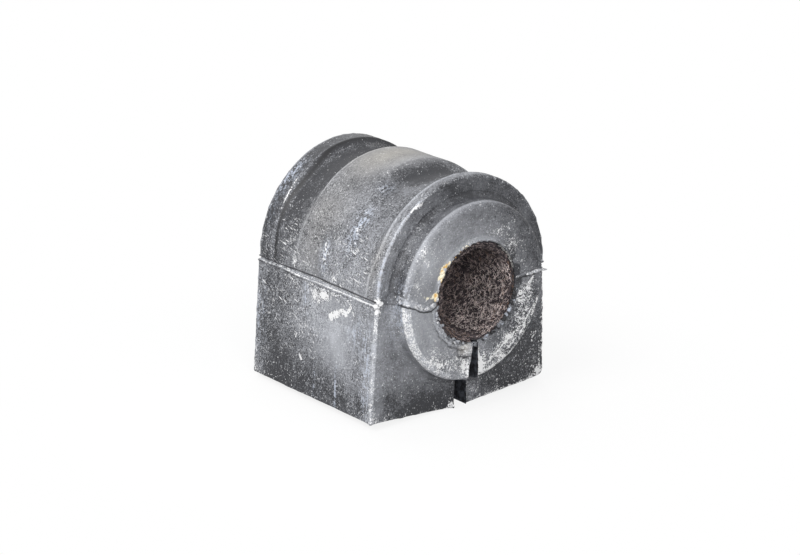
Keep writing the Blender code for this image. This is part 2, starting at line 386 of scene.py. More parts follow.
def parting_relief(points, kind):
    """Raised ridge along the parting line, the painted shade of the creases beside it and how white it is."""
    y, z = points.T[1:]
    around = ((kind == BODY) | (kind == BLOCK_EDGE) | (y > 0.0)) & (kind != BORE)
    seam = PARTING_HEIGHT + 0.1 * noise(points, 6.0, 23)
    slim = 1.0 - 0.35 * smooth((y - 6.0) / 7.0)
    band = np.abs(z - seam) / (RIDGE_HALF_HEIGHT * slim)
    ridge = smooth((1.4 - band) / 0.5) * around
    jagged = 1.0 + 0.3 * noise(points, 1.1, 31) + 0.2 * noise(points, 0.5, 37)
    # Creases above and below the ridge, and a cleft in it towards the front, are pushed in and given painted
    # shade
    above = between((z - seam) / slim, 0.66, 0.9, 0.14) * around
    below = between((seam - z) / slim, 0.64, 0.85, 0.14) * around * (0.35 + 0.65 * smooth((y - 2.0) / 8.0))
    cleft = between((z - seam) / slim, -0.16, -0.04, 0.09) * around * smooth((10.0 - y) / 4.0)
    push = ridge * RIDGE_PROUD * jagged - 0.3 * above - 0.2 * below - 0.2 * cleft
    # How white the ridge is: partly the whitened rubber of the flash, partly a painted highlight of the ridge
    # catching the light
    white = ridge * (0.55 + between(band, 0.7, 1.2, 0.2) * np.where(z < seam, 0.9, 0.35))
    return push, np.maximum(np.maximum(above, 0.85 * below), 0.5 * cleft), white


def front_relief(points, kind, clock, reach):
    """Flash on the front boss and face: how far it stands out, the painted shade of its creases and its bare
    top.
    """
    x, y, z = points.T
    boss = (kind <= BOSS_SIDE) & (y < 0.0)
    push = np.zeros(len(points))
    # Painted shade in the creases under the flash's lips, in the seam's hairline across the face, along the
    # ring's edge and beside the flap
    painted_shade = np.zeros(len(points))
    top = np.zeros(len(points))
    wobble = 0.16 * noise(points, 0.9, 51) + 0.1 * noise(points, 0.45, 53)

    over = z - np.interp(x, LEFT_FLASH_X, LEFT_FLASH_Z) - wobble
    left = boss & (x < LEFT_FLASH_INNER)
    lip = smooth(over / 0.16) * smooth((2.3 + 2.0 * wobble - over) / 1.3) * left
    push += FLASH_PROUD * lip * (1.0 + 0.4 * noise(points, 1.2, 57))
    painted_shade = np.maximum(painted_shade, between(over, -0.32, -0.06, 0.12) * left)
    top = np.maximum(top, lip)

    over = z - np.interp(x, RIGHT_FLASH_X, RIGHT_FLASH_Z) - wobble
    right = boss & (x > RIGHT_FLASH_INNER)
    lip = smooth(over / 0.14 + 0.5) * smooth((0.9 - over) / 0.4) * right
    push += FLASH_PROUD * lip * (1.0 + 0.4 * noise(points, 1.0, 59))
    painted_shade = np.maximum(painted_shade, between(over, -0.42, -0.12, 0.12) * right)
    top = np.maximum(top, lip)

    face = ((kind == END) | (kind == ROOT)) & (y < 0.0)
    line = PARTING_HEIGHT - 0.1 - 0.12 * (np.abs(x) < 22.5) + 0.15 * noise(points, 2.0, 61)
    hair = between(z, line - 0.08, line + 0.08, 0.16) * face
    push -= HAIR_DEPTH * hair
    painted_shade = np.maximum(painted_shade, 0.35 * hair)

    ring = boss & (clock > 18.0) & (clock < 84.0)
    ring = smooth((RING_REACH + 1.6 * wobble - reach) / 0.22) * between(clock, 24.0, 78.0, 6.0) * ring
    push += RING_PROUD * ring * (1.0 + 0.6 * noise(points, 0.9, 63))
    painted_shade = np.maximum(painted_shade, 0.7 * boss * between(reach, 13.55 + 1.6 * wobble, 13.75 + 1.6 * wobble, 0.14)
                        * between(clock, 14.0, 60.0, 5.0))
    top = np.maximum(top, 0.8 * ring)

    foot = 14.3 - 0.14 * (x + 2.8) + 2.0 * wobble
    by_slit = boss & (z < FLAP_TOP) & (x < 0.0)
    flap = smooth((x - FLAP_LEFT + 2.0 * wobble) / 0.15) * smooth((z - foot) / 0.15) * by_slit
    push += FLAP_PROUD * flap * (1.0 + 0.35 * noise(points, 0.9, 65) + 0.2 * noise(points, 0.4, 66))
    beside = np.maximum(between(z, foot - 0.4, foot - 0.15, 0.12) * between(x, FLAP_LEFT, -0.5, 0.3),
                        between(x, -5.25, -5.05, 0.12) * between(z, 14.4, 16.4, 0.3))
    painted_shade = np.maximum(painted_shade, 0.9 * beside * boss)
    top = np.maximum(top, 0.75 * flap)
    return push, painted_shade, top


# Wear of the block's edges, and the two chips at its front as centre and radii
EDGE_WEAR = 0.16
CHIP_DEPTH = 0.5
CORNER_CHIP = ((-26.5, -22.4, 1.2), (0.8, 0.8, 0.8))
SLIT_CHIP = ((-2.2, -22.4, 0.2), (1.0, 0.8, 0.9))


def worn_edges(points, kind):
    """How far the block's edges and two places at its front are worn back."""
    edge = (kind == BLOCK_EDGE) * np.maximum(0.0, noise(points, 1.3, 71) + 0.4 * noise(points, 0.6, 73))
    worn = EDGE_WEAR * edge
    worn += CHIP_DEPTH * spot(points, *CORNER_CHIP)
    worn += CHIP_DEPTH * spot(points, *SLIT_CHIP) * (points[:, 0] < 0.0)
    return worn


def front_marks(y, thickness, *rows):
    """Marks at one place along the bore, from rows of x, z, their two radii and strength."""
    return [((x, y, z), (wide, thickness, high), strength) for x, z, wide, high, strength in rows]


def left_marks(x, thickness, *rows):
    """Marks at one place across the block, from rows of y, z, their two radii and strength."""
    return [((x, y, z), (thickness, long, high), strength) for y, z, long, high, strength in rows]


def front_lines(y, *rows):
    """Lines at one place along the bore, from rows of x, z, end x, end z, width and strength."""
    return [((x, y, z), (end_x, y, end_z), width, strength) for x, z, end_x, end_z, width, strength in rows]


def left_lines(x, *rows):
    """Lines at one place across the block, from rows of y, z, end y, end z, width and strength."""
    return [((x, y, z), (x, end_y, end_z), width, strength) for y, z, end_y, end_z, width, strength in rows]


# Surface marks as centre, radii and strength.
# How pale the bloom is; among its patches, the pale ones on the crown are painted light, and the dark ones
# low on the left side and on the front face below and right of the boss are painted shade:
BLOOM_AND_LIGHT_MARKS = [
    *left_marks(-25.6, 3.0,
        (-3.0, 23.0, 11, 5.0, 0.12), (-9.0, 26.5, 5, 2.5, 0.12), (7.0, 12.0, 7, 4.5, -0.16)),
    *front_marks(BLOCK_FACE, 2.0,
        (4.0, 3.4, 2.0, 2.5, 0.25), (22.6, 28.5, 2.2, 3.0, -0.25), (-21.0, 6.2, 2.4, 2.6, -0.2),
        (-24.0, 20.0, 3.5, 11, 0.08), (-9.0, 2.0, 12, 6, -0.3), (-13.0, 2.0, 12, 4.5, -0.12),
        (20.0, 8.0, 13, 12, -0.46), (-22.5, 33.0, 3, 6, 0.08)),
    *front_marks(BOSS_FACE + 0.2, 1.5,
        (-15.5, 38.8, 1.5, 2.6, 0.2), (-18.0, 37.8, 1.3, 2.4, -0.12), (-3.7, 9.0, 1.4, 1.2, 0.25)),
    *front_marks(BOSS_FACE, 1.5,
        (-8.6, 37.2, 1.6, 1.8, 0.35), (-8.2, 20.6, 1.5, 1.5, 0.25), (-4.0, 15.0, 1.3, 1.2, -0.15),
        (9.9, 37.6, 1.8, 2.2, -0.28), (-2.8, 15.9, 2.1, 1.8, 0.25)),
    *front_marks(BOSS_FACE, 2.0,
        (18.7, 24.5, 2.0, 2.5, -0.2), (-17.0, 34.0, 5, 9, 0.18), (-15.0, 21.0, 6, 7, 0.18),
        (-6.0, 43.0, 9, 5, 0.14), (16.0, 38.0, 6, 12, -0.2), (11.0, 18.0, 8, 8, -0.22),
        (-9.0, 13.5, 9, 6, 0.14), (18.5, 33.0, 2.6, 4.5, -0.16), (2.0, 47.0, 14, 3.5, -0.16),
        (-14.8, 38.6, 3.2, 3.2, 0.14)),
    ((-25.6, -9.0, 17.0), (4, 6.5, 6.0), 0.38), ((-26.2, 4.0, 4.0), (4, 15, 6.0), -0.44),
    ((-26.0, 21.3, 16.0), (4, 1.6, 12), 0.1), ((-25.9, -20.2, 12.0), (3, 2.2, 13), 0.26),
    ((-25.5, 13.0, 24.0), (3, 8, 4.5), -0.08), ((-25.8, -12.0, 3.5), (3, 8, 4.5), -0.28),
    ((-25.8, 1.0, 21.0), (3, 4, 5), 0.12), ((-5.0, -1.0, 55.5), (11, 7, 6), 0.12),
    ((-17.0, 21.5, 48.0), (6, 2.0, 7), 0.06), ((-15.4, 20.4, 50.0), (3.5, 1.6, 3.2), 0.2),
    ((-24.3, 19.0, 37.4), (2.5, 1.8, 2.6), 0.2), ((-25.3, 18.5, 30.8), (2.0, 3.0, 1.2), -0.26),
    ((-23.0, -22.0, 40.0), (1.5, 1.5, 2.2), 0.24), ((-22.4, -14.2, 41.8), (2.5, 2.2, 3.5), 0.2),
    ((-24.6, -13.0, 35.3), (2.5, 2.0, 2.4), 0.2), ((-15.7, -10.2, 49.8), (2.2, 2.0, 2.4), 0.2),
    ((-25.2, -5.2, 30.6), (2.0, 1.8, 1.4), 0.22), ((-25.2, -13.9, 30.0), (2.0, 1.6, 1.4), 0.2),
    ((2.0, -20.6, 55.3), (6.0, 1.3, 2.0), 0.3), ((0.5, -4.0, 55.0), (6.0, 2.4, 1.5), 0.2),
    ((-9.0, -12.2, 51.6), (2.2, 1.3, 1.6), 0.18), ((-5.0, -13.8, 52.6), (3.0, 1.2, 1.4), 0.24),
    ((1.5, -13.6, 53.2), (4.0, 1.2, 1.4), 0.24), ((-24.0, 20.5, 38.0), (4, 3.0, 7), -0.11),
    ((10.0, 21.0, 54.0), (9, 2.5, 7), 0.12), ((-22.6, -8.5, 40.5), (4, 4, 4.5), -0.1),
    ((-13.8, -0.5, 50.8), (3.5, 4.0, 2.8), -0.26), ((-19.0, -15.0, 45.0), (3, 3, 4), 0.12),
    ((-25.4, -22.0, 3.6), (2.4, 2.4, 2.4), 0.36), ((-11.0, -6.5, 51.5), (4.5, 4, 4), -0.16),
    ((-26.4, 20.5, 4.0), (2, 3, 4), 0.16), ((4.0, 4.0, 55.5), (8, 4.5, 4), 0.2),
    ((-19.5, -22.1, 45.5), (2.5, 1.5, 3.0), 0.16), ((-25.9, -19.4, 5.0), (2.0, 2.6, 3.5), -0.24),
    ((-23.6, -22.1, 30.0), (1.8, 1.5, 2.2), -0.2), ((3.0, -22.1, 53.5), (21, 3, 7), -0.2),
    ((22.5, -22.5, 39.0), (5, 3, 12), -0.3), ((12.0, -25.0, 46.5), (8, 4, 4), -0.16),
    ((-22.1, -25.5, 28.8), (1.5, 3.0, 2.5), -0.2), ((-18.4, -26.8, 24.0), (1.6, 1.6, 4.5), 0.22),
]

# How strongly fine light and dark grains mix on it:
GRAIN_MARKS = [
    ((-25.5, 4.0, 23.0), (3, 18, 6), 0.15), ((-25.6, -9.5, 18.0), (4, 7, 7), -0.3),
    ((-4.0, 0.0, 55.0), (18, 24, 8), -0.3), ((-25.0, -9.0, 36.0), (3, 6, 6), 0.12),
    ((-10.0, -26.8, 12.5), (8, 2, 4.2), 0.5), ((15.0, -26.6, 20.0), (6, 2, 8), 0.5),
    ((8.0, -26.6, 12.0), (7, 2, 4), 0.5), ((22.0, -22.1, 8.0), (6, 2, 10), 0.3),
]

# How many small bright specks lie on it:
SPECK_MARKS = [
    *front_marks(BLOCK_FACE, 2.0,
        (22.0, 8.0, 5, 9, 0.4), (13.0, 6.0, 9, 7, 0.35), (25.0, 3.5, 3, 4, 0.8), (8.0, 2.0, 9, 3.4, 0.9),
        (3.2, 3.5, 1.8, 3.5, 0.4), (-13.0, 46.0, 4, 4, 0.2)),
    *front_marks(BOSS_FACE + 0.2, 2.0,
        (16.5, 21.0, 3.4, 5.5, 1.3), (11.0, 14.5, 5, 3.4, 1.2), (4.0, 10.5, 3, 2.4, 0.9)),
    *front_marks(BOSS_FACE, 2.0,
        (-12.5, 15.0, 3.5, 2.6, 1.2), (-6.5, 11.8, 5.5, 3.0, 1.3), (-18.5, 36.6, 1.8, 3, 0.5),
        (-16.4, 40.5, 1.6, 2.6, 0.8), (-13.5, 35.2, 2.2, 1.6, 0.5), (6.8, 42.3, 2.6, 1.2, 1.3),
        (9.8, 39.0, 2.2, 2.0, 1.3), (12.2, 35.6, 2.0, 2.4, 1.3), (14.2, 32.4, 2.0, 1.6, 0.8),
        (-17.0, 36.5, 3.0, 2.4, 0.5), (15.4, 26.6, 2.6, 3.0, 1.0)),
    ((-26.0, 5.0, 6.0), (3, 14, 6), -0.12), ((-25.7, 10.0, 22.0), (3, 10, 7), 0.5),
    ((-25.8, 4.0, 17.0), (3, 5, 5), 0.35), ((-25.4, 2.0, 27.5), (3, 6, 1.6), 0.6),
    ((-25.8, -8.0, 17.5), (4, 5, 6), -0.3), ((-26.2, 21.0, 4.0), (2, 3, 6), 0.6),
    ((-25.8, 20.5, 22.0), (2, 2, 6), 0.4), ((-4.0, 0.0, 55.0), (18, 24, 8), -0.5),
    ((-24.6, 12.0, 37.0), (3, 4, 7), 0.24), ((-25.2, -9.5, 35.0), (3, 5, 6), 0.25),
    ((-25.0, 6.0, 33.0), (3, 4, 3), 0.3), ((-25.3, 20.5, 34.0), (2, 2, 3), 0.6),
    ((-19.2, -26.6, 23.5), (1.6, 2.5, 5), 0.9),
]

# Solid white scuffs and chips:
SCUFF_MARKS = [
    *left_marks(-25.8, 1.5,
        (-3.6, 27.0, 1.8, 1.1, 1.15), (0.2, 25.7, 0.5, 1.1, 0.85), (-1.4, 26.8, 2.8, 1.6, 0.64),
        (-8.6, 27.4, 1.4, 0.6, 0.5), (1.2, 28.4, 1.3, 0.45, 0.7), (-1.5, 25.0, 0.7, 0.5, 0.75),
        (-6.4, 28.2, 1.0, 0.4, 0.75), (15.5, 20.6, 0.5, 0.9, 0.6), (-12.9, 26.9, 0.5, 1.2, 0.9),
        (8.6, 18.9, 1.0, 0.5, 0.75), (6.4, 15.0, 0.6, 1.0, 0.6), (2.7, 18.2, 0.5, 1.2, 0.55),
        (8.4, 28.0, 0.6, 0.6, 0.7)),
    *front_marks(BLOCK_FACE, 1.2,
        (-24.4, 2.4, 1.8, 1.4, 0.42), (-2.9, 0.9, 1.3, 0.9, 0.9), (-13.7, 50.2, 0.8, 0.6, 0.6)),
    *front_marks(BOSS_FACE + 0.2, 1.5,
        (15.6, 16.8, 1.6, 1.6, 0.45), (9.0, 12.2, 2.4, 1.4, 0.45), (3.6, 9.6, 1.8, 0.9, 0.5)),
    *front_marks(BOSS_FACE, 1.5,
        (13.6, 24.3, 0.9, 1.3, 0.75), (10.2, 38.4, 1.7, 2.2, 0.42), (6.8, 42.3, 2.4, 0.8, 0.46),
        (-15.9, 40.8, 1.1, 1.8, 0.66), (-17.8, 34.6, 1.8, 2.4, 0.36), (10.2, 16.2, 1.0, 0.8, 0.6),
        (-14.8, 29.8, 0.9, 0.6, 0.7), (-13.4, 15.4, 1.2, 0.8, 0.65), (-10.6, 13.6, 1.5, 0.9, 0.7),
        (-3.4, 12.0, 0.8, 1.6, 0.75), (16.2, 27.4, 0.9, 1.2, 0.65), (13.6, 26.4, 0.8, 0.9, 0.6),
        (3.0, 13.0, 0.9, 1.2, 0.62)),
    *front_marks(BOSS_FACE, 2.0,
        (15.9, 25.8, 2.4, 3.4, 0.44), (14.6, 20.0, 2.6, 3.6, 0.47), (11.2, 15.8, 3.4, 2.6, 0.44),
        (6.5, 11.6, 4, 2.0, 0.4), (-7.5, 13.4, 4.5, 1.9, 0.47), (-12.0, 16.6, 1.7, 2.2, 0.42),
        (-3.2, 10.8, 2.2, 2.4, 0.42)),
    ((-25.5, -6.2, 31.4), (1.2, 0.9, 0.8), 1.05), ((-25.2, -21.9, 29.8), (1.3, 1.3, 1.3), 1.3),
    ((-25.4, -21.9, 27.6), (1.0, 0.9, 1.2), 0.8), ((-26.4, 21.7, 4.0), (1.2, 1.0, 3.0), 0.7),
    ((-26.2, 20.5, 2.2), (1.2, 2.0, 0.8), 0.45), ((-26.4, -21.6, 3.0), (1.2, 1.4, 1.6), 0.42),
    ((25.0, -22.3, 2.8), (2.0, 1.2, 2.0), 1.05), ((-25.4, 8.3, 32.1), (1.2, 0.7, 1.6), 0.9),
]

# White lines as start, end, width and strength:
SCUFF_LINES = [
    *left_lines(-25.8,
        (-6.3, 22.8, -8.2, 23.8, 0.95, 1.1), (-8.2, 23.8, -10.4, 25.2, 0.7, 1.05),
        (-10.4, 25.2, -11.7, 24.6, 0.6, 0.95), (-11.7, 24.6, -13.2, 26.6, 0.6, 1.0),
        (-13.2, 26.6, -14.4, 25.2, 0.4, 0.75)),
    *left_lines(-25.9,
        (11.6, 10.8, 2.6, 9.3, 0.22, 0.45), (6.9, 8.9, -0.5, 6.8, 0.22, 0.45),
        (13.6, 13.2, 9.6, 11.8, 0.2, 0.55)),
    *front_lines(BLOCK_FACE,
        (23.6, 13.4, 22.3, 11.1, 0.25, 0.85), (22.6, 13.6, 21.9, 12.3, 0.22, 0.6),
        (25.0, 17.0, 25.1, 10.0, 0.3, 0.42), (25.2, 9.0, 25.2, 4.0, 0.4, 0.62),
        (24.0, 1.8, 8.0, 0.8, 0.3, 0.6)),
    *front_lines(BOSS_FACE,
        (0.9, 15.0, 0.9, 9.4, 0.4, 1.1), (1.2, 13.6, 1.7, 12.0, 0.55, 1.2),
        (1.6, 12.0, 2.0, 11.0, 0.95, 1.2), (2.0, 11.6, 3.1, 11.2, 0.5, 1.0),
        (1.4, 11.4, 1.7, 10.0, 0.85, 1.2), (5.2, 12.0, 9.9, 15.3, 0.35, 0.85),
        (9.6, 15.1, 12.4, 16.8, 0.4, 0.9), (12.4, 16.8, 14.9, 18.4, 0.4, 0.75),
        (6.2, 13.7, 9.9, 15.3, 0.35, 0.6), (10.1, 12.8, 12.2, 15.0, 0.35, 0.7),
        (14.4, 16.2, 16.0, 19.6, 0.35, 0.8), (16.0, 19.6, 18.2, 22.4, 0.45, 0.8),
        (17.4, 29.2, 15.9, 27.6, 0.4, 0.85), (-2.2, 12.8, -2.4, 9.0, 0.4, 0.9),
        (-13.4, 41.0, -15.4, 37.4, 0.3, 0.5)),
    ((1.6, -26.7, 9.6), (5.2, -26.8, 12.0), 0.35, 0.85),
    ((2.3, -26.6, 8.7), (5.3, -26.7, 9.7), 0.35, 0.9),
    ((5.3, -26.7, 9.7), (8.9, -26.7, 11.0), 0.35, 0.8),
    ((8.9, -26.7, 11.0), (12.6, -26.7, 12.9), 0.35, 0.75),
    ((-16.3, -22.0, 49.1), (-14.6, -22.0, 50.0), 0.22, 0.9),
    ((-14.6, -22.0, 50.0), (-12.9, -22.0, 50.7), 0.34, 1.1),
    ((-23.7, 17.3, 39.0), (-21.5, 17.35, 43.3), 0.16, 0.85),
    ((-21.5, 17.35, 43.3), (-19.4, 17.5, 46.2), 0.19, 1.1),
    ((-19.4, 17.5, 46.2), (-17.2, 17.6, 48.6), 0.15, 0.8),
    ((-21.6, 13.9, 42.9), (-21.9, 12.4, 42.3), 0.3, 0.8),
    ((-26.1, 19.6, 5.8), (-26.1, 14.6, 4.9), 0.22, 0.6),
    ((-21.4, -9.6, 42.9), (-20.6, -9.9, 44.3), 0.7, 0.6),
    ((-20.6, -9.9, 44.3), (-19.5, -10.8, 45.5), 0.6, 0.5),
    ((-19.9, -9.6, 45.3), (-18.9, -9.0, 46.5), 0.7, 0.6),
    ((-18.9, -9.0, 46.5), (-17.9, -9.0, 47.6), 0.6, 0.65),
    ((-24.4, -2.4, 36.6), (-24.0, -1.8, 38.8), 0.8, 0.52),
    ((-24.9, -2.4, 34.4), (-24.6, -1.9, 36.0), 0.7, 0.45),
    ((-25.9, -9.7, 11.3), (-26.3, -9.0, 1.9), 0.38, 0.72),
    ((-25.9, -1.0, 9.8), (-26.3, -1.4, 2.5), 0.3, 0.45),
]

# Bluish tint, or where the strength is less than nothing, a warm one; the warm patches on the dome are
# painted warm light from above:
TINT_AND_WARM_LIGHT_MARKS = [
    *left_marks(-25.8, 2.0,
        (21.5, 16.0, 3.0, 8, 0.6), (-16.0, 21.0, 3.0, 3.0, 0.7), (3.2, 25.5, 1.0, 4.0, 0.9)),
    ((-20.0, -9.4, 45.4), (3, 1.8, 3.2), 1.3), ((-24.6, -2.1, 36.2), (2, 1.4, 3.6), 1.3),
    ((-2.8, -26.8, 15.9), (2.1, 1.5, 1.8), -1.0), ((-12.0, -8.5, 51.5), (2, 1.6, 1.6), 0.6),
    ((-22.5, -9.5, 41.0), (2, 1.8, 3.0), 0.6), ((-26.0, -19.8, 12.0), (2, 1.6, 11), 0.8),
    ((-25.9, -9.3, 6.5), (2, 0.35, 5.5), 1.8), ((-25.9, -1.3, 6.0), (2, 0.3, 4.5), 0.8),
    ((-21.0, -26.0, 27.0), (1.5, 3.0, 8), 0.9), ((-24.6, -23.0, 37.0), (2, 2.0, 6), 0.6),
    ((-17.4, 20.6, 48.4), (5, 2.0, 5), 1.1), ((-24.4, 20.5, 41.0), (2, 1.5, 3.0), 0.7),
    ((-2.0, 2.0, 55.5), (16, 7, 6), -1.0), ((-20.0, 3.0, 45.0), (6, 8, 6), -0.45),
    ((10.0, 20.0, 54.0), (9, 5, 7), -0.8), ((-24.2, 2.5, 37.0), (4, 6, 8), -0.35),
    ((-24.0, -19.8, 39.0), (4, 2.0, 8), -0.5),
]

# Short scratches along the bore:
HATCH_MARKS = [
    ((-24.4, 12.0, 37.4), (4, 2.6, 3.4), 1.8), ((-25.2, 8.6, 33.8), (3, 3.4, 2.8), 1.8),
    ((-24.4, -14.0, 35.5), (4, 3.0, 4.4), 1.1), ((-22.4, -11.5, 41.0), (4, 3.4, 3.0), 0.8),
    ((-25.3, -13.5, 32.5), (3, 3.6, 2.2), 1.0), ((-25.7, 10.0, 18.0), (2, 9, 9), 0.25),
]

# Cream residue round the bore's upper left lip:
CREAM_MARKS = [
    *front_marks(BOSS_FACE, 1.5,
        (-10.4, 36.0, 1.1, 1.3, 1.1), (-11.4, 34.0, 0.8, 1.0, 1.0), (-12.4, 30.7, 1.0, 0.9, 1.0),
        (-14.4, 30.4, 1.6, 0.7, 0.7), (-7.2, 39.0, 1.2, 0.6, 0.45), (-3.4, 40.8, 1.6, 0.5, 0.35)),
]

PLAIN_BLOOM = {LIP: 0.42, FACE: 0.37, BOSS_EDGE: 0.37, BOSS_SIDE: 0.27, ROOT: 0.22, END: 0.31,
               BLOCK_EDGE: 0.37, BODY: 0.415, BORE: 0.02}
PLAIN_GRAIN = {LIP: 0.3, FACE: 0.08, BOSS_EDGE: 0.14, BOSS_SIDE: 0.14, ROOT: 0.12, END: 0.15,
               BLOCK_EDGE: 0.4, BODY: 0.42, BORE: 0.0}
PLAIN_SPECK = {LIP: 0.1, FACE: 0.04, BOSS_EDGE: 0.08, BOSS_SIDE: 0.05, ROOT: 0.03, END: 0.05,
               BLOCK_EDGE: 0.3, BODY: 0.2, BORE: 0.0}


def plain_level(levels, kind):
    """Level of each point's section."""
    return np.array([levels[section] for section in range(len(levels))])[kind]


def surface_marks(points, kind, clock, reach, painted_shade, ridge, top):
    """How the surface looks at each point, for the material to read."""
    x, y, z = points.T
    front = y < 0.0
    body = kind == BODY
    boss_face = (kind <= FACE) & front
    bloom_and_painted_light = plain_level(PLAIN_BLOOM, kind) + 0.08 * rough(points, 8.0, 3, 81) + patches(points, BLOOM_AND_LIGHT_MARKS)
    grain = plain_level(PLAIN_GRAIN, kind) + 0.12 * rough(points, 5.0, 3, 83) + patches(points, GRAIN_MARKS)
    speck = plain_level(PLAIN_SPECK, kind) + 0.16 * rough(points, 6.0, 3, 84) + patches(points, SPECK_MARKS)
    ragged = 0.3 * noise(points, 1.6, 85) + 0.2 * noise(points, 0.7, 87)

    dome = body * smooth((clock - 92.0) / 50.0) * smooth((268.0 - clock) / 50.0)
    # Painted shade in the near and far grooves over the dome
    bloom_and_painted_light = bloom_and_painted_light - 0.2 * dome * between(y, -17.0, -9.5, 2.5) - 0.22 * dome * between(y, 10.0, 15.0, 1.5)
    # Painted shade at the foot of the far flange's wall, darkest along a thin line
    root = y - np.interp(clock, FAR_SHADE_CLOCK, FAR_SHADE_Y)
    far_root = body * between(clock, 98.0, 215.0, 8.0)
    bloom_and_painted_light = bloom_and_painted_light - 0.3 * far_root * between(root, -0.35, 0.2, 0.4)
    painted_shade = np.maximum(painted_shade, (0.95 + 0.3 * ragged) * far_root * between(root, -0.16, 0.16, 0.2))
    bloom_and_painted_light = bloom_and_painted_light - 0.15 * body * between(y, 18.0, 23.0, 0.6) * between(clock, 104.0, 160.0, 14.0)
    behind = body * smooth((y - 5.0) / 8.0)
    bloom_and_painted_light = bloom_and_painted_light - 0.22 * behind - 0.1 * dome * smooth((y - 8.0) / 5.0)
    # Painted shade on the near groove's front slope at the crown, with fewer specks there
    crown_slope_shade = body * (z > 50.0) * smooth((x + 9.0) / 3.0) * between(y, -12.5, -5.6, 0.6)
    hollow_shade = streak(points, (-7.6, -7.6, 53.2), (5.5, -8.6, 53.6), 1.7)
    bloom_and_painted_light = bloom_and_painted_light - 0.2 * crown_slope_shade - 0.2 * body * hollow_shade
    speck = (speck - 0.16 * dome) * (1.0 - 0.95 * body * smooth((z - 40.0) / 7.0)) - 0.3 * hollow_shade
    # Lighter lines along the near flange's inner edge, the band's far edge and the far flange's inner edge:
    # painted highlights
    lean = smooth((121.0 - clock) / 24.0)
    front_edge_highlight = body * between(y + 19.6 - 1.4 * lean, -0.2, 0.2, 0.25) * between(clock, 95.0, 176.0, 6.0)
    far_lean = smooth((140.0 - clock) / 25.0)
    band_edge_highlight = body * between(y - 7.0 - 0.9 * far_lean, -0.25, 0.25, 0.3) * between(clock, 108.0, 190.0, 8.0)
    far_edge_highlight = body * between(y, 17.3, 17.9, 0.3) * between(clock, 96.0, 175.0, 10.0)
    bloom_and_painted_light = bloom_and_painted_light + 0.36 * front_edge_highlight + 0.36 * band_edge_highlight + 0.12 * far_edge_highlight

    boss_rim = (kind == BOSS_EDGE) & front
    rim_left = between(clock, 25.0, 90.0, 12.0) * boss_rim
    # Painted highlight along the upper arc of the front boss's rounded edge
    upper_arc_highlight = between(y, -26.0, -25.6, 0.3) * between(clock, 105.0, 262.0, 12.0) * boss_rim
    low_side = front * ((kind == BOSS_SIDE) | (kind == ROOT)) * between(clock, 40.0, 90.0, 10.0)
    bloom_and_painted_light = bloom_and_painted_light + 0.3 * rim_left + 0.3 * upper_arc_highlight + 0.13 * low_side
    bloom_and_painted_light = bloom_and_painted_light + 0.2 * boss_face * between(reach, 11.5, 12.9, 0.3) * between(clock, 0.0, 195.0, 12.0)
    upper_left_side = front * ((kind == BOSS_SIDE) | (kind == ROOT)) * between(clock, 100.0, 150.0, 12.0)
    bloom_and_painted_light = bloom_and_painted_light - 0.1 * upper_left_side
    lip_edge = 13.3 + 1.4 * noise(points, 1.8, 67)
    bare_lip = boss_face * between(clock, 242.0, 270.0, 8.0) * smooth((lip_edge - reach) / 0.7 + 0.5)
    bloom_and_painted_light = bloom_and_painted_light - 0.28 * bare_lip + 0.35 * top + 0.6 * ridge
    grain = grain - 0.5 * bare_lip
    speck = speck - bare_lip + 0.4 * top

    edge = (kind == BLOCK_EDGE) & front
    corner_edge = edge * between(clock, 44.0, 91.0, 2.0)
    # Front crest of the near flange: edge wear, with a painted highlight and bluish tint along it
    crest_wear_and_highlight = edge * between(clock, 97.0, 147.0, 8.0) * between(y, -21.95, -21.7, 0.2)
    right_edge = edge * between(clock, 268.0, 318.0, 5.0)
    base_edge = edge * (between(clock, 2.0, 40.0, 2.0) * 0.5 + between(clock, 320.0, 358.0, 2.0) * 0.8)
    bloom_and_painted_light = bloom_and_painted_light + 0.38 * crest_wear_and_highlight + 0.3 * corner_edge
    scuff = patches(points, SCUFF_MARKS)
    scuff = np.maximum(scuff, streaks(points, SCUFF_LINES))
    lower_right = boss_rim * between(clock, 285.0, 356.0, 6.0)
    for share, base in ((corner_edge, 0.36), (crest_wear_and_highlight, -0.05), (right_edge, 0.5), (base_edge, 0.45),
                        (rim_left, 0.58), (top, 0.45), (lower_right, 0.6),
                        (ridge * body, 0.62 + 0.3 * smooth((4.0 - y) / 14.0))):
        scuff = np.maximum(scuff, (base + 0.9 * ragged) * share)

    blue = patches(points, TINT_AND_WARM_LIGHT_MARKS) + 0.4 * crest_wear_and_highlight + 0.7 * ridge * body
    return {
        "bloom_and_painted_light": bloom_and_painted_light,
        "grain": np.clip(grain, 0.0, 1.2),
        "speck": np.clip(speck, 0.0, 1.2),
        "scuff": scuff * (1.0 - painted_shade),
        "blue": np.clip(blue, -1.0, 1.2),
        "hatch": patches(points, HATCH_MARKS),
        "cream": patches(points, CREAM_MARKS) * (kind <= FACE),
        "painted_shade": np.clip(painted_shade, 0.0, 1.0),
        "round": np.radians(clock) * reach,
        "across": np.where(body | (kind == BOSS_SIDE), y, reach),
    }


SLIT_EDGE_ROUND = 0.35

# Right front corner of the base: its centre and radii, and how far it is pushed in
WORN_CORNER = ((26.8, -22.6, 0.8), (1.2, 2.4, 1.5))
WORN_CORNER_SHIFT = (-0.3, 0.3, 0.3)


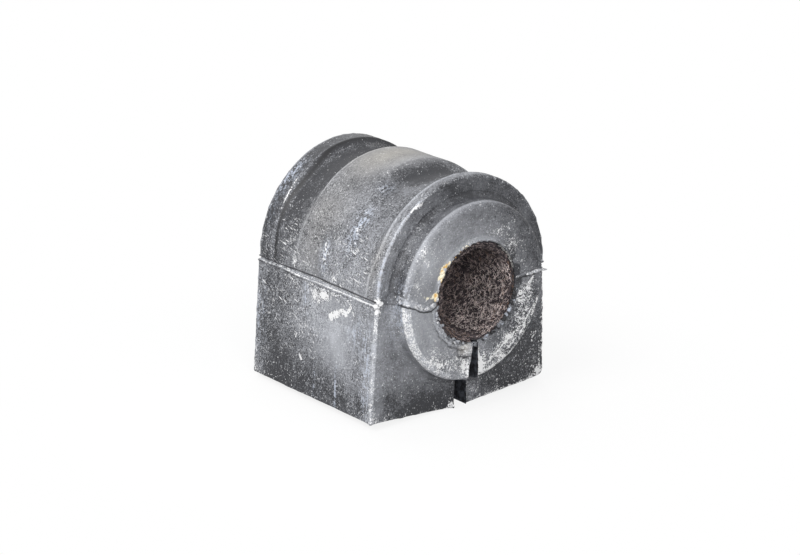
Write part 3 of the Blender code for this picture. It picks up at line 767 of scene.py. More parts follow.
def slit_round(clock, reach):
    """How far the edges of the slit are rounded back, in millimetres."""
    from_left = np.radians(clock - np.interp(reach, SLIT_REACH, SLIT_LEFT)) * reach
    from_right = np.radians(360.0 - clock - np.interp(reach, SLIT_REACH, SLIT_RIGHT)) * reach
    inside = np.clip(1.0 - np.minimum(from_left, from_right) / SLIT_EDGE_ROUND, 0.0, 1.0)
    return SLIT_EDGE_ROUND * (1.0 - np.sqrt(1.0 - inside ** 2))


def shape_rubber(points, normal, kind):
    """Relief of the real moulding on the plain form, and how its surface looks."""
    x, _, z = points.T
    clock = np.degrees(np.arctan2(-x, BORE_HEIGHT - z)) % 360.0
    reach = np.hypot(x, z - BORE_HEIGHT)
    push = 0.06 * rough(points, 9.0, 3, 5) + 0.025 * rough(points, 1.5, 2, 11)
    seam_push, seam_shade, ridge = parting_relief(points, kind)
    front_push, front_shade, top = front_relief(points, kind, clock, reach)
    push = push + seam_push + front_push - worn_edges(points, kind) - slit_round(clock, reach)
    painted_shade = np.maximum(seam_shade, front_shade)
    looks = surface_marks(points, kind, clock, reach, painted_shade, ridge, top)
    push = push + 0.1 * np.clip(looks["scuff"], 0.0, 1.0) * noise(points, 0.7, 91)
    moved = points + normal * (push * (kind != BORE))[:, None]
    moved += np.outer(spot(points, *WORN_CORNER), WORN_CORNER_SHIFT)
    moved[:, 2] = np.maximum(moved[:, 2], 0.0)
    return moved, looks


# Which of the body's materials the walls of the slit take
WALL_MATERIAL = 1


def rubber_mesh():
    """The moulded body: a section swept round the bore from one wall of the slit to the other."""
    base_clock = clock_angles()
    rows = rubber_rows(base_clock)
    count = len(base_clock)
    grid = np.zeros((len(rows), count, 3))
    kinds = np.zeros((len(rows), count), dtype=int)
    for index, (reach, y, kind) in enumerate(rows):
        clock = np.radians(opened(base_clock, reach))
        grid[index, :, 0] = -reach * np.sin(clock)
        grid[index, :, 1] = y
        grid[index, :, 2] = BORE_HEIGHT - reach * np.cos(clock)
        kinds[index] = kind
    normal = grid_normals(grid).reshape(-1, 3)
    points, looks = shape_rubber(grid.reshape(-1, 3), normal, kinds.reshape(-1))
    faces = grid_faces(len(rows), count)
    faces.append([row * count for row in range(len(rows))])
    faces.append([row * count + count - 1 for row in reversed(range(len(rows)))])
    body = make_mesh("rubber_body_finish", points, faces, looks)
    for wall in body.data.polygons[-2:]:
        wall.use_smooth = False
        wall.material_index = WALL_MATERIAL
    return body


# What the rubber's material reads at each point of a mesh
LOOKS = ("bloom_and_painted_light", "grain", "speck", "scuff", "blue", "hatch", "cream", "painted_shade", "round", "across")


def unit_lump():
    """Points and faces of a small round lump of radius 1."""
    shape = bmesh.new()
    bmesh.ops.create_icosphere(shape, subdivisions=2, radius=1.0)
    shape.verts.ensure_lookup_table()
    points = np.array([vert.co[:] for vert in shape.verts])
    faces = [[vert.index for vert in face.verts] for face in shape.faces]
    shape.free()
    return points, faces


def lumps_mesh(name, lumps):
    """One mesh of small ragged lumps, each given as centre, radii, turn about the bore and looks."""
    ball, ball_faces = unit_lump()
    points = []
    faces = []
    looks = {label: [] for label in LOOKS}
    for number, (centre, radii, turn, look) in enumerate(lumps):
        shape = ball * (1.0 + 0.28 * noise(ball + 7.3 * number, 0.7, 95))[:, None]
        shape = shape * np.array(radii)
        swing = math.radians(turn)
        across = shape[:, 0] * math.cos(swing) + shape[:, 2] * math.sin(swing)
        upward = -shape[:, 0] * math.sin(swing) + shape[:, 2] * math.cos(swing)
        first = len(points) * len(ball)
        points.append(np.stack([across, shape[:, 1], upward], axis=1) + np.array(centre))
        faces.extend([[first + index for index in face] for face in ball_faces])
        for label in looks:
            looks[label].extend([look.get(label, 0.0)] * len(ball))
    return make_mesh(name, np.concatenate(points), faces, looks)


def rim_place(clock, reach, y):
    """Place at a clock angle and distance from the bore's axis."""
    turn = math.radians(clock)
    return (-reach * math.sin(turn), y, BORE_HEIGHT - reach * math.cos(turn))


# Torn bits placed one by one, as centre, radii, turn and looks
TORN_RUBBER = {"bloom_and_painted_light": 0.75, "grain": 0.4, "scuff": 0.5}
WHITE_RUBBER = {"bloom_and_painted_light": 1.0, "scuff": 1.2}
SINGLE_LUMPS = [
    ((19.6, BOSS_FACE + 0.3, 30.3), (1.3, 0.4, 0.34), -8.0, TORN_RUBBER),
    ((21.3, BOSS_FACE + 0.5, 30.15), (1.0, 0.3, 0.26), 10.0, TORN_RUBBER),
    ((18.2, BOSS_FACE - 0.15, 30.5), (1.3, 0.4, 0.38), -6.0, TORN_RUBBER),
    ((16.0, BOSS_FACE - 0.15, 30.3), (1.2, 0.35, 0.32), 4.0, TORN_RUBBER),
    ((20.9, BOSS_FACE + 0.8, 32.3), (0.32, 0.32, 0.28), 0.0, TORN_RUBBER),
    ((-25.0, -22.2, 30.2), (0.7, 0.5, 0.5), 20.0, WHITE_RUBBER),
    ((-25.3, -21.6, 29.2), (0.5, 0.6, 0.5), 0.0, WHITE_RUBBER),
    ((-24.3, -22.3, 29.8), (0.6, 0.4, 0.4), -30.0, WHITE_RUBBER),
    ((-17.2, BOSS_FACE - 0.15, 29.2), (0.6, 0.4, 0.5), 10.0, TORN_RUBBER),
    ((-15.2, BOSS_FACE - 0.2, 28.2), (0.7, 0.4, 0.5), -15.0, TORN_RUBBER),
    ((-13.4, BOSS_FACE - 0.2, 28.4), (0.8, 0.35, 0.6), 5.0, TORN_RUBBER),
]


def loose_flash():
    """Torn flash: teeth round the bore's lower lip, crumbs and the tip past the boss's rim."""
    rng = np.random.default_rng(12)
    lumps = []
    for clock in np.arange(276.0, 350.0, 2.6):
        # About half the teeth take the near-black of the painted shade
        dark = rng.random() < 0.5
        look = {"painted_shade": 0.75} if dark else {"bloom_and_painted_light": 0.4, "grain": 0.4, "blue": 1.1}
        place = rim_place(clock + rng.uniform(-1, 1), 11.9 + rng.uniform(-0.4, 0.5), BOSS_FACE - 0.02)
        lumps.append((place, (0.38 * rng.uniform(0.6, 1.3), 0.4, 0.52 * rng.uniform(0.5, 1.5)),
                      clock + rng.uniform(-45, 45), look))
    for clock in np.arange(20.0, 84.0, 2.4):
        look = {"bloom_and_painted_light": rng.uniform(0.3, 0.75), "grain": 0.4, "blue": 0.3, "scuff": 0.45 * rng.random()}
        place = rim_place(clock + rng.uniform(-1.5, 1.5), 12.3 + rng.uniform(-0.55, 0.4), BOSS_FACE - 0.1)
        lumps.append((place, (0.62 * rng.uniform(0.5, 1.3), 0.32, 0.3 * rng.uniform(0.6, 1.5)),
                      clock + rng.uniform(-35, 35), look))
    for low, high in ((92.0, 101.0), (112.0, 136.0)):
        for clock in np.arange(low, high, 3.0):
            look = {"bloom_and_painted_light": 0.9, "cream": 1.2 if rng.random() < 0.75 else 0.2, "scuff": 0.4}
            place = rim_place(clock + rng.uniform(-1.5, 1.5), 12.2 + rng.uniform(-0.3, 0.4), BOSS_FACE - 0.02)
            radii = (0.62, 0.3, 0.4 * rng.uniform(0.7, 1.4))
            lumps.append((place, radii, clock + rng.uniform(-30, 30), look))
    for clock in np.arange(128.0, 172.0, 5.5):
        look = {"bloom_and_painted_light": 0.55, "cream": 0.7, "grain": 0.4}
        place = rim_place(clock + rng.uniform(-1.5, 1.5), 11.5 + rng.uniform(-0.2, 0.2), BOSS_FACE + 0.4)
        lumps.append((place, (0.22, 0.22, 0.2 * rng.uniform(0.7, 1.4)), clock, look))
    for clock in np.arange(102.0, 198.0, 2.8):
        look = {"bloom_and_painted_light": rng.uniform(0.45, 0.8), "cream": 0.5 if rng.random() < 0.3 else 0.1, "grain": 0.5}
        place = rim_place(clock + rng.uniform(-1, 1), 12.05 + rng.uniform(-0.15, 0.25), BOSS_FACE + 0.02)
        lumps.append((place, (0.45 * rng.uniform(0.6, 1.3), 0.24, 0.26 * rng.uniform(0.7, 1.3)),
                      clock + rng.uniform(-15, 15), look))
    strand = {"bloom_and_painted_light": 0.3, "grain": 0.4, "blue": 0.3}
    for x, z, turn in ((0.0, 16.9, 10.0), (-0.2, 16.5, -12.0), (0.2, 16.2, 8.0), (0.3, 15.9, 24.0)):
        lumps.append(((x, BOSS_FACE + 0.1, z), (1.0, 0.2, 0.15), turn, strand))
    tatter = {"bloom_and_painted_light": 0.28, "grain": 0.5, "blue": -1.0, "scuff": 0.1}
    for clock in np.arange(214.0, 252.0, 4.5):
        place = rim_place(clock + rng.uniform(-1.5, 1.5), 11.7 + rng.uniform(-0.25, 0.25), BOSS_FACE + 0.1)
        lumps.append((place, (0.5 * rng.uniform(0.6, 1.3), 0.3, 0.24), clock + rng.uniform(-30, 30), tatter))
    crumb = {"bloom_and_painted_light": 0.8, "grain": 0.4, "scuff": 0.55}
    for y in np.arange(-13.0, 0.5, 0.75):
        place = (-25.42, y + rng.uniform(-0.3, 0.3), 28.3 + rng.uniform(-0.35, 0.2))
        radii = (0.22, rng.uniform(0.2, 0.42), rng.uniform(0.14, 0.26))
        lumps.append((place, radii, 0.0, crumb))
    return lumps_mesh("loose_flash", lumps + SINGLE_LUMPS)


# Fibres of the liner's pile
FIBRE_COUNT = 9800
FIBRE_STEPS = 3
FIBRE_SIDES = 3
FIBRE_RADIUS = 0.063
PILE_HEIGHT = 0.7
MOUTH_SHARE = 0.15
STANDING_SHARE = 0.4
PALE_SHARE = 0.38
PALE_TONE = 0.66
TONE_SPREAD = 0.34
RUST_SHARE = 0.03
RUST_SHARE_AT_LOW_EDGE = 0.16
PILE_END = 26.7
CLOCK_BESIDE_SLIT = 4.0

# Dark stretch of the fringe at the bore's mouth, in radians of clock angle
DARK_FRINGE_FROM = 4.15
DARK_FRINGE_TO = 5.3


def fibre_pile(name, count, y_from, y_to, seed):
    """Matted curly fibres standing on the inside of the liner."""
    rng = np.random.default_rng(seed)
    clock = np.radians(rng.uniform(5.0, 355.0, count))
    y = rng.uniform(y_from, y_to, count)
    heading = rng.uniform(0.0, 2.0 * math.pi, count)
    curl = rng.normal(0.0, 0.4, count)
    stride = rng.uniform(0.5, 1.8, count) / FIBRE_STEPS
    bottom = rng.uniform(-0.05, 0.3, count)
    loft = PILE_HEIGHT * rng.beta(1.5, 2.0, count)
    standing = rng.random(count) < STANDING_SHARE
    pale = rng.random(count) < PALE_SHARE
    tone = np.where(pale, PALE_TONE, 0.0) + TONE_SPREAD * rng.random(count)
    at_mouth = max(abs(y_from), abs(y_to)) > LINER_END
    mouth = (rng.random(count) < MOUTH_SHARE) & at_mouth
    y = np.where(mouth, np.sign(y_from + y_to) * rng.uniform(LINER_END - 0.5, LINER_END + 0.5, count), y)
    bottom = np.where(mouth, rng.uniform(-0.95, 0.2, count), bottom)
    loft = np.where(mouth, 0.3 * loft, loft)
    dark_fringe = mouth & (clock > DARK_FRINGE_FROM) & (clock < DARK_FRINGE_TO)
    tone = np.where(dark_fringe, 0.45, 1.0) * tone
    edge = np.abs(y) > LINER_END - 1.2
    low = (clock < 1.4) | (clock > 4.1)
    rust_share = np.where(edge & low, RUST_SHARE_AT_LOW_EDGE, RUST_SHARE)
    rust = (rng.random(count) < rust_share) * rng.uniform(0.3, 0.8, count)
    # Fibres past the depth that light reaches into the bore are darker, a painted shade; light reaches
    # deepest at the lower right
    lit_depth = -12.5 - 0.0026 * (np.degrees(clock) - 310.0) ** 2
    deep_shade = smooth((y - np.maximum(lit_depth, -29.0) + 3.0) / 6.0)
    tone = tone * (1.1 - 0.47 * deep_shade) - 0.03 * edge
    limit = math.radians(CLOCK_BESIDE_SLIT)
    path = np.zeros((count, FIBRE_STEPS + 1, 3))
    out = np.zeros((count, FIBRE_STEPS + 1, 3))
    for step in range(FIBRE_STEPS + 1):
        share = step / FIBRE_STEPS
        rise = bottom + loft * np.where(standing, share ** 0.8, math.sin(math.pi * (0.1 + 0.8 * share)))
        reach = LINER_INNER - 0.05 - rise
        turn = np.clip(clock, limit, 2.0 * math.pi - limit)
        path[:, step] = np.stack([-reach * np.sin(turn), np.clip(y, -PILE_END, PILE_END),
                                  BORE_HEIGHT - reach * np.cos(turn)], axis=1)
        out[:, step] = np.stack([np.sin(turn), np.zeros(count), np.cos(turn)], axis=1)
        clock = clock + stride * np.cos(heading) / reach
        y = y + stride * np.sin(heading)
        heading = heading + curl + rng.normal(0.0, 0.35, count)
    tangent = np.gradient(path, axis=1)
    tangent /= np.linalg.norm(tangent, axis=2, keepdims=True)
    beside = np.cross(tangent, out)
    beside /= np.maximum(np.linalg.norm(beside, axis=2, keepdims=True), 1e-6)
    thick = FIBRE_RADIUS * rng.uniform(0.7, 1.25, count)[:, None, None] * np.ones((count, FIBRE_STEPS + 1, 1))
    thick[:, [0, -1]] *= 0.55
    rings = []
    for side in range(FIBRE_SIDES):
        angle = 2.0 * math.pi * side / FIBRE_SIDES
        rings.append(path + thick * (math.cos(angle) * out + math.sin(angle) * beside))
    points = np.stack(rings, axis=2).reshape(-1, 3)
    per_fibre = (FIBRE_STEPS + 1) * FIBRE_SIDES
    first = (np.arange(count) * per_fibre)[:, None]
    quads = []
    for step in range(FIBRE_STEPS):
        for side in range(FIBRE_SIDES):
            after = (side + 1) % FIBRE_SIDES
            low = step * FIBRE_SIDES
            high = low + FIBRE_SIDES
            quads.append(first + np.array([[low + side, low + after, high + after, high + side]]))
    faces = np.concatenate(quads).tolist()
    faces += (first + np.array([[2, 1, 0]])).tolist()
    faces += (first + np.array([[per_fibre - 3, per_fibre - 2, per_fibre - 1]])).tolist()
    looks = {"tone": np.repeat(tone, per_fibre), "rust": np.repeat(rust, per_fibre)}
    return make_mesh(name, points, faces, looks)


# Clock angles of the backing's two edges at the slit
LINER_FIRST_CLOCK = 4.2
LINER_LAST_CLOCK = 356.2


def liner_mesh():
    """The liner's felted backing: a lumpy open tube with the slit through it."""
    turns = np.radians(np.linspace(LINER_FIRST_CLOCK, LINER_LAST_CLOCK, 170))
    rows = []
    for y in np.linspace(-LINER_END, LINER_END, 60):
        rows.append((LINER_INNER, y))
    rows.append((LINER_OUTER, LINER_END))
    for y in np.linspace(LINER_END, -LINER_END, 6)[1:-1]:
        rows.append((LINER_OUTER, y))
    rows.append((LINER_OUTER, -LINER_END))
    grid = np.zeros((len(rows), len(turns), 3))
    for index, (reach, y) in enumerate(rows):
        grid[index, :, 0] = -reach * np.sin(turns)
        grid[index, :, 1] = y
        grid[index, :, 2] = BORE_HEIGHT - reach * np.cos(turns)
    points = grid.reshape(-1, 3)
    inner = np.hypot(points[:, 0], points[:, 2] - BORE_HEIGHT) < LINER_INNER + 0.1
    normal = grid_normals(grid).reshape(-1, 3)
    lumpy = (0.12 * rough(points, 1.4, 2, 101) - 0.05) * inner
    points = points - normal * lumpy[:, None]
    faces = grid_faces(len(rows), len(turns))
    faces = [face[::-1] for face in faces]
    last = len(turns) - 1
    faces.append([row * len(turns) for row in reversed(range(len(rows)))])
    faces.append([row * len(turns) + last for row in range(len(rows))])
    return make_mesh("fabric_liner_finish", points, faces, {"tone": 0.16 + 0.12 * noise(points, 2.0, 103)})


def new_material(name):
    """Empty surface material, its node tree, and its shader."""
    material = bpy.data.materials.new(name)
    material.use_nodes = True
    return material, material.node_tree, material.node_tree.nodes["Principled BSDF"]


def linked(tree, target, value):
    """Set an input to a number or colour, or link it to another node's output."""
    if isinstance(value, bpy.types.NodeSocket):
        tree.links.new(value, target)
    else:
        target.default_value = value


def maths(tree, operation, first, second=0.0, clamp=False):
    """Result of one sum on two values."""
    step = tree.nodes.new("ShaderNodeMath")
    step.operation = operation
    step.use_clamp = clamp
    linked(tree, step.inputs[0], first)
    linked(tree, step.inputs[1], second)
    return step.outputs[0]


def scaled_sum(tree, *terms):
    """Sum of (value, factor, centre) terms, each counted from its centre."""
    total = 0.0
    for value, factor, centre in terms:
        term = maths(tree, "MULTIPLY", maths(tree, "SUBTRACT", value, centre), factor)
        total = maths(tree, "ADD", term, total)
    return total


def stretched(tree, place, scale, turn):
    """Place in which a pattern comes out stretched and turned."""
    mapping = tree.nodes.new("ShaderNodeMapping")
    mapping.vector_type = "TEXTURE"
    mapping.inputs["Rotation"].default_value = turn
    mapping.inputs["Scale"].default_value = scale
    tree.links.new(place, mapping.inputs["Vector"])
    return mapping.outputs["Vector"]


def mottle(tree, place, size, detail=2.0, roughness=0.55):
    """Noise with lumps of about the given size in millimetres."""
    texture = tree.nodes.new("ShaderNodeTexNoise")
    texture.inputs["Scale"].default_value = 1.0 / (size * MM)
    texture.inputs["Detail"].default_value = detail
    texture.inputs["Roughness"].default_value = roughness
    tree.links.new(place, texture.inputs["Vector"])
    return texture.outputs["Fac"]


def step_up(tree, value, low, high):
    """Smooth rise from 0 to 1 as a value goes from low to high."""
    rise = tree.nodes.new("ShaderNodeMapRange")
    rise.interpolation_type = "SMOOTHSTEP"
    linked(tree, rise.inputs["Value"], value)
    linked(tree, rise.inputs["From Min"], low)
    linked(tree, rise.inputs["From Max"], high)
    return rise.outputs["Result"]


def mixed(tree, factor, first, second):
    """Blend of two colours."""
    blend = tree.nodes.new("ShaderNodeMix")
    blend.data_type = "RGBA"
    linked(tree, blend.inputs["Factor"], factor)
    linked(tree, blend.inputs[6], first)
    linked(tree, blend.inputs[7], second)
    return blend.outputs[2]


def bumped(tree, shader, height, strength, depth):
    """Give a shader fine relief that follows a height, with its depth in millimetres."""
    bump = tree.nodes.new("ShaderNodeBump")
    bump.inputs["Strength"].default_value = strength
    bump.inputs["Distance"].default_value = depth * MM
    tree.links.new(height, bump.inputs["Height"])
    tree.links.new(bump.outputs["Normal"], shader.inputs["Normal"])


def painted(tree, label):
    """Value that the mesh holds at each point."""
    reader = tree.nodes.new("ShaderNodeAttribute")
    reader.attribute_name = label
    return reader.outputs["Fac"]


def object_place(tree):
    """Place on the object, in metres."""
    return tree.nodes.new("ShaderNodeTexCoord").outputs["Object"]


BARE_RUBBER = (0.030, 0.031, 0.036, 1.0)
PALE_BLOOM = (0.497, 0.512, 0.552, 1.0)
# Warm colour, on the dome a painted warm light from above
WARM_TINT_AND_LIGHT = (0.525, 0.506, 0.475, 1.0)
WHITE_SCUFF = (0.84, 0.84, 0.85, 1.0)
BLUE_BLOOM = (0.55, 0.605, 0.72, 1.0)
CREAM_RESIDUE = (0.92, 0.86, 0.68, 1.0)
AMBER_RESIDUE = (0.72, 0.46, 0.14, 1.0)
# Near-black of the painted shade in creases, also the darker mottle of the slit's walls
SHADE_AND_SLIT_BLACK = (0.010, 0.010, 0.012, 1.0)
SLIT_RUBBER = (0.085, 0.093, 0.112, 1.0)
SMEAR_LENGTH = 4.0
STROKE_TILT = 0.22
STROKE_LENGTH = 8.0


def jittered(tree, place, size, amount):
    """Place moved about by noise, so that what is drawn there has ragged edges."""
    shift = tree.nodes.new("ShaderNodeTexNoise")
    shift.inputs["Scale"].default_value = 1.0 / (size * MM)
    shift.inputs["Detail"].default_value = 1.0
    tree.links.new(place, shift.inputs["Vector"])
    moved = tree.nodes.new("ShaderNodeVectorMath")
    moved.operation = "MULTIPLY_ADD"
    tree.links.new(shift.outputs["Color"], moved.inputs[0])
    moved.inputs[1].default_value = (amount * MM, amount * MM, amount * MM)
    tree.links.new(place, moved.inputs[2])
    return moved.outputs["Vector"]


def scattered(tree, place, size, share, largest):
    """Small spots in the given share of a lattice's cells, up to a given part of a cell in radius."""
    cells = tree.nodes.new("ShaderNodeTexVoronoi")
    cells.inputs["Scale"].default_value = 1.0 / (size * MM)
    tree.links.new(place, cells.inputs["Vector"])
    draw = tree.nodes.new("ShaderNodeSeparateColor")
    tree.links.new(cells.outputs["Color"], draw.inputs["Color"])
    chosen = maths(tree, "LESS_THAN", draw.outputs["Red"], share)
    radius = maths(tree, "MULTIPLY", maths(tree, "ADD", draw.outputs["Green"], 0.3), largest / 1.3)
    inside = maths(tree, "SUBTRACT", radius, cells.outputs["Distance"])
    bright = maths(tree, "ADD", maths(tree, "MULTIPLY", draw.outputs["Blue"], 0.65), 0.35)
    return maths(tree, "MULTIPLY", maths(tree, "MULTIPLY", chosen, bright), step_up(tree, inside, 0.0, 0.12))


def flat_place(tree, smear):
    """Place measured round the section and across it, for marks that follow the moulding."""
    join = tree.nodes.new("ShaderNodeCombineXYZ")
    tree.links.new(maths(tree, "MULTIPLY", painted(tree, "round"), MM / smear), join.inputs["X"])
    tree.links.new(maths(tree, "MULTIPLY", painted(tree, "across"), MM), join.inputs["Y"])
    return join.outputs["Vector"]


def rubber_material():
    """Dark rubber under a patchy grey bloom that also carries painted light and shade, with white grains,
    scuffs and scratches, and painted shade in its creases.
    """
    material, tree, shader = new_material("weathered_rubber")
    place = object_place(tree)
    fine = mottle(tree, place, 0.3, 1.0)
    coarse = mottle(tree, place, 0.6, 2.0)
    blotch = mottle(tree, place, 1.7, 3.0, 0.6)
    cloud = step_up(tree, mottle(tree, place, 5.0, 2.0), 0.34, 0.66)
    thick = step_up(tree, mottle(tree, place, 2.4, 2.0), 0.42, 0.58)
    smear = mottle(tree, flat_place(tree, SMEAR_LENGTH), 0.55, 2.0)
    grain = painted(tree, "grain")

    amount = maths(tree, "MULTIPLY", grain, maths(tree, "ADD", maths(tree, "MULTIPLY", thick, 0.45), 0.6))
    lift = maths(tree, "ADD", maths(tree, "MULTIPLY", amount, 2.8), 0.25)
    sparkle = maths(tree, "MULTIPLY", maths(tree, "SUBTRACT", fine, 0.5), lift)
    pits = maths(tree, "MULTIPLY", maths(tree, "SUBTRACT", coarse, 0.5), maths(tree, "MULTIPLY", amount, 2.2))
    uneven = maths(tree, "ADD", maths(tree, "MULTIPLY", grain, 0.7), 0.25)
    bloom_and_painted_light = scaled_sum(tree, (painted(tree, "bloom_and_painted_light"), 1.0, 0.0), (blotch, uneven, 0.5), (cloud, 0.1, 0.5),
                       (smear, 0.22, 0.5), (pits, 1.0, 0.0))
    bloom_and_painted_light = maths(tree, "ADD", bloom_and_painted_light, sparkle, clamp=True)
    tint = painted(tree, "blue")
    # The warm tint is partly painted warm light on the dome
    warm_tint_and_light = maths(tree, "MULTIPLY", tint, -1.0, clamp=True)
    colour = mixed(tree, bloom_and_painted_light, BARE_RUBBER, mixed(tree, warm_tint_and_light, PALE_BLOOM, WARM_TINT_AND_LIGHT))
    streaky = scaled_sum(tree, (smear, 0.8, -0.1), (blotch, 0.6, 0.5), (coarse, 0.8, 0.5))
    blue = maths(tree, "MULTIPLY", tint, step_up(tree, streaky, 0.44, 0.62), clamp=True)
    colour = mixed(tree, maths(tree, "MULTIPLY", blue, 0.75), colour, BLUE_BLOOM)

    ragged = jittered(tree, place, 0.4, 0.5)
    clustered = maths(tree, "ADD", maths(tree, "MULTIPLY", thick, 0.8), 0.2)
    density = maths(tree, "MULTIPLY", painted(tree, "speck"), clustered)
    small = scattered(tree, ragged, 0.3, density, 0.58)
    large = scattered(tree, ragged, 0.66, maths(tree, "MULTIPLY", density, 0.2), 0.42)
    speck = maths(tree, "MAXIMUM", small, large)
    colour = mixed(tree, maths(tree, "MULTIPLY", speck, 0.84), colour, WHITE_SCUFF)

    along = stretched(tree, flat_place(tree, 1.0), (1.0, STROKE_LENGTH, 1.0), (0.0, 0.0, -STROKE_TILT))
    hatch = scattered(tree, along, 0.26, maths(tree, "MULTIPLY", painted(tree, "hatch"), 0.5), 0.58)
    colour = mixed(tree, hatch, colour, WHITE_SCUFF)

    torn = scaled_sum(tree, (painted(tree, "scuff"), 1.0, 0.0), (blotch, 0.8, 0.5), (coarse, 1.6, 0.5),
                      (fine, 1.5, 0.5))
    scuff = step_up(tree, torn, 0.5, 0.8)
    colour = mixed(tree, scuff, colour, WHITE_SCUFF)

    residue = mixed(tree, step_up(tree, blotch, 0.5, 0.64), CREAM_RESIDUE, AMBER_RESIDUE)
    crust = step_up(tree, scaled_sum(tree, (painted(tree, "cream"), 1.0, 0.0), (coarse, 1.6, 0.5)), 0.5, 0.75)
    colour = mixed(tree, crust, colour, residue)
    # Painted shade in the creases
    colour = mixed(tree, maths(tree, "MULTIPLY", painted(tree, "painted_shade"), 0.95), colour, SHADE_AND_SLIT_BLACK)
    tree.links.new(colour, shader.inputs["Base Color"])

    tree.links.new(maths(tree, "ADD", maths(tree, "MULTIPLY", bloom_and_painted_light, 0.35), 0.5), shader.inputs["Roughness"])
    height = scaled_sum(tree, (fine, 0.5, 0.5), (coarse, 0.8, 0.5), (blotch, 1.0, 0.5), (scuff, 0.5, 0.0),
                        (speck, 0.5, 0.0), (hatch, 0.4, 0.0))
    bumped(tree, shader, height, 0.6, 0.12)
    return material


def slit_material():
    """Clean dark rubber of the slit's walls."""
    material, tree, shader = new_material("slit_rubber")
    place = object_place(tree)
    shade = step_up(tree, mottle(tree, place, 1.2, 4.0, 0.65), 0.35, 0.7)
    tree.links.new(mixed(tree, shade, SHADE_AND_SLIT_BLACK, SLIT_RUBBER), shader.inputs["Base Color"])
    shader.inputs["Roughness"].default_value = 0.8
    shader.inputs["Specular IOR Level"].default_value = 0.25
    bumped(tree, shader, mottle(tree, place, 0.5, 3.0), 0.4, 0.1)
    return material


# Colours of the fibres by tone, from dark to pale, and that of the rusty ones
FIBRE_SHADES = [(0.0, (0.038, 0.035, 0.041, 1.0)), (0.35, (0.15, 0.122, 0.124, 1.0)),
                (0.65, (0.64, 0.52, 0.495, 1.0)), (0.9, (0.97, 0.84, 0.81, 1.0))]
RUSTY_FIBRE = (0.38, 0.25, 0.18, 1.0)


def fibre_material(name, shades):
    """Matted fibres, each in its own shade, with a few rusty ones."""
    material, tree, shader = new_material(name)
    place = object_place(tree)
    tone = scaled_sum(tree, (painted(tree, "tone"), 1.0, 0.0), (mottle(tree, place, 0.6, 2.0), 0.15, 0.5))
    ramp = tree.nodes.new("ShaderNodeValToRGB")
    stops = ramp.color_ramp.elements
    stops[0].position, stops[0].color = shades[0]
    stops[1].position, stops[1].color = shades[-1]
    for position, shade in shades[1:-1]:
        stops.new(position).color = shade
    tree.links.new(tone, ramp.inputs["Fac"])
    colour = mixed(tree, painted(tree, "rust"), ramp.outputs["Color"], RUSTY_FIBRE)
    tree.links.new(colour, shader.inputs["Base Color"])
    shader.inputs["Roughness"].default_value = 0.85
    shader.inputs["Specular IOR Level"].default_value = 0.2
    bumped(tree, shader, mottle(tree, place, 0.3, 2.0), 0.5, 0.1)
    return material


# Camera, solved from the edges of the block in the photograph
CAMERA_PLACE = (-276.95, -325.40, 163.69)
CAMERA_AZIMUTH = 0.705
CAMERA_ELEVATION = 0.313
CAMERA_ROLL = 0.021
CAMERA_LENS = 85.58
CAMERA_SENSOR = 36.0
CAMERA_NEAR = 0.01


def add_camera():
    """Camera at the photograph's viewing angle."""
    azimuth, elevation, roll = CAMERA_AZIMUTH, CAMERA_ELEVATION, CAMERA_ROLL
    back = np.array([-math.sin(azimuth) * math.cos(elevation),
                     -math.cos(azimuth) * math.cos(elevation), math.sin(elevation)])
    level = np.array([math.cos(azimuth), -math.sin(azimuth), 0.0])
    upright = np.cross(back, level)
    right = math.cos(roll) * level + math.sin(roll) * upright
    up = -math.sin(roll) * level + math.cos(roll) * upright
    lens = bpy.data.cameras.new("camera")
    lens.sensor_width = CAMERA_SENSOR
    lens.lens = CAMERA_LENS
    lens.clip_start = CAMERA_NEAR
    camera = bpy.data.objects.new("camera", lens)
    bpy.context.scene.collection.objects.link(camera)
    place = Matrix.Identity(4)
    for axis, direction in enumerate((right, up, back)):
        for row in range(3):
            place[row][axis] = direction[row]
    for row in range(3):
        place[row][3] = CAMERA_PLACE[row] * MM
    camera.matrix_world = place
    bpy.context.scene.camera = camera


def add_light(name, place, target, size, power):
    """Soft square lamp aimed at a point, with both given in millimetres."""
    lamp = bpy.data.lights.new(name, "AREA")
    lamp.shape = "SQUARE"
    lamp.size = size * MM
    lamp.energy = power
    placed = bpy.data.objects.new(name, lamp)
    bpy.context.scene.collection.objects.link(placed)
    placed.location = Vector(place) * MM
    placed.rotation_euler = (Vector(target) - Vector(place)).to_track_quat("-Z", "Y").to_euler()


def add_world(strength):
    """Even light from all round; the background itself shows as white."""
    world = bpy.data.worlds.new("studio")
    world.use_nodes = True
    tree = world.node_tree
    background = tree.nodes["Background"]
    background.inputs["Color"].default_value = (1.0, 1.0, 1.0, 1.0)
    path = tree.nodes.new("ShaderNodeLightPath")
    seen = maths(tree, "MAXIMUM", path.outputs["Is Camera Ray"], path.outputs["Is Glossy Ray"])
    seen = maths(tree, "MAXIMUM", seen, path.outputs["Is Transmission Ray"])
    level = tree.nodes.new("ShaderNodeMapRange")
    level.inputs["To Min"].default_value = strength
    level.inputs["To Max"].default_value = 1.0
    tree.links.new(seen, level.inputs["Value"])
    tree.links.new(level.outputs["Result"], background.inputs["Strength"])
    bpy.context.scene.world = world


# Floor: half its size in metres, how far below the bushing it lies, its shade for light and
# for the camera, and how its own shade fades to white with the distance
FLOOR_HALF = 3.0
FLOOR_DROP = 0.1
FLOOR_SHADE = (0.6, 0.6, 0.6, 1.0)
FLOOR_SEEN_SHADE = (0.92, 0.92, 0.92, 1.0)
FLOOR_FADE_FROM = 30.0
FLOOR_FADE_TO = 90.0
FLOOR_LEAST_WHITE = 0.84


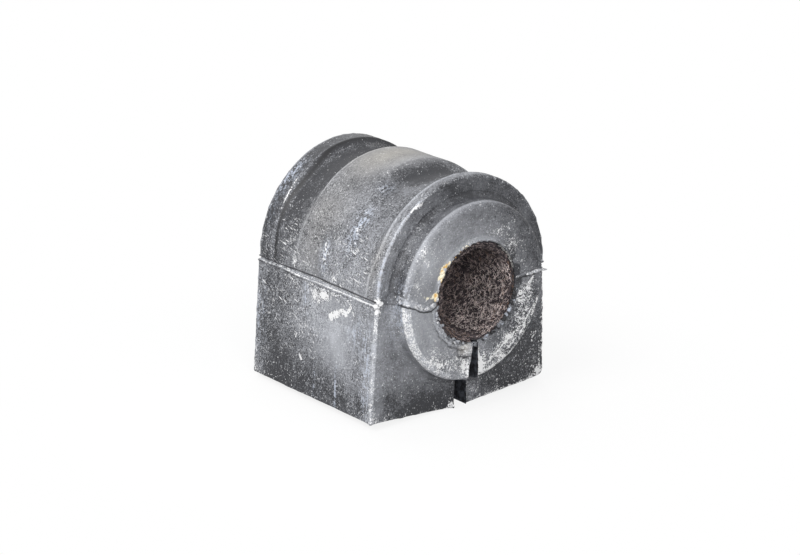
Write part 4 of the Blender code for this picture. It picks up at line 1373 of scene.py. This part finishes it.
def add_floor():
    """Plain pale floor that the bushing stands on, just below its lowest edge."""
    half = FLOOR_HALF
    drop = FLOOR_DROP * MM
    corners = [(-half, -half, -drop), (half, -half, -drop), (half, half, -drop), (-half, half, -drop)]
    mesh = bpy.data.meshes.new("floor")
    mesh.from_pydata(corners, [], [(0, 1, 2, 3)])
    floor = bpy.data.objects.new("floor", mesh)
    bpy.context.scene.collection.objects.link(floor)
    material, tree, shader = new_material("pale_floor")
    shader.inputs["Roughness"].default_value = 0.9
    shader.inputs["Specular IOR Level"].default_value = 0.0
    white = tree.nodes.new("ShaderNodeEmission")
    path = tree.nodes.new("ShaderNodeLightPath")
    seen = path.outputs["Is Camera Ray"]
    tree.links.new(mixed(tree, seen, FLOOR_SHADE, FLOOR_SEEN_SHADE), shader.inputs["Base Color"])
    blend = tree.nodes.new("ShaderNodeMixShader")
    distance = tree.nodes.new("ShaderNodeVectorMath")
    distance.operation = "LENGTH"
    tree.links.new(object_place(tree), distance.inputs[0])
    share = tree.nodes.new("ShaderNodeMapRange")
    share.inputs["From Min"].default_value = FLOOR_FADE_FROM * MM
    share.inputs["From Max"].default_value = FLOOR_FADE_TO * MM
    share.inputs["To Min"].default_value = FLOOR_LEAST_WHITE
    tree.links.new(distance.outputs["Value"], share.inputs["Value"])
    shown = maths(tree, "MULTIPLY", seen, share.outputs["Result"])
    tree.links.new(shown, blend.inputs["Fac"])
    tree.links.new(shader.outputs["BSDF"], blend.inputs[1])
    tree.links.new(white.outputs["Emission"], blend.inputs[2])
    tree.links.new(blend.outputs["Shader"], tree.nodes["Material Output"].inputs["Surface"])
    mesh.materials.append(material)


def finish_piece(piece, node, material):
    """Give a piece its material, attach it to the root body and hide the solid it stands for."""
    piece.data.materials.append(material)
    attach(piece, "root")
    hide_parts(node)


# Stretches of the pile along the bore: name, from, to and seed of its random draws
PILE_RUNS = [("front", -26.3, -15.5, 3), ("middle", -16.0, -1.0, 5), ("back", -1.5, 26.3, 4)]

# Lamps: name, place, what it is aimed at, size and power
LAMPS = [("key", (-500, -80, 530), (0, 0, 28), 340, 3.0),
         ("fill", (-300, -560, 330), (0, -20, 28), 260, 2.3),
         ("top", (60, 220, 600), (0, 0, 28), 400, 0.8)]
WORLD_STRENGTH = 0.34

add_camera()
weathered = rubber_material()
rubber = rubber_mesh()
finish_piece(rubber, "rubber_body", weathered)
rubber.data.materials.append(slit_material())
finish_piece(loose_flash(), "rubber_body", weathered)
fibres = fibre_material("matted_fibre", FIBRE_SHADES)
finish_piece(liner_mesh(), "fabric_liner", fibres)
for place, y_from, y_to, seed in PILE_RUNS:
    pile = fibre_pile("fibre_pile_" + place, FIBRE_COUNT, y_from, y_to, seed)
    finish_piece(pile, "fabric_liner", fibres)

add_floor()
add_world(WORLD_STRENGTH)
for lamp in LAMPS:
    add_light(*lamp)
bpy.context.scene.view_settings.view_transform = "Standard"
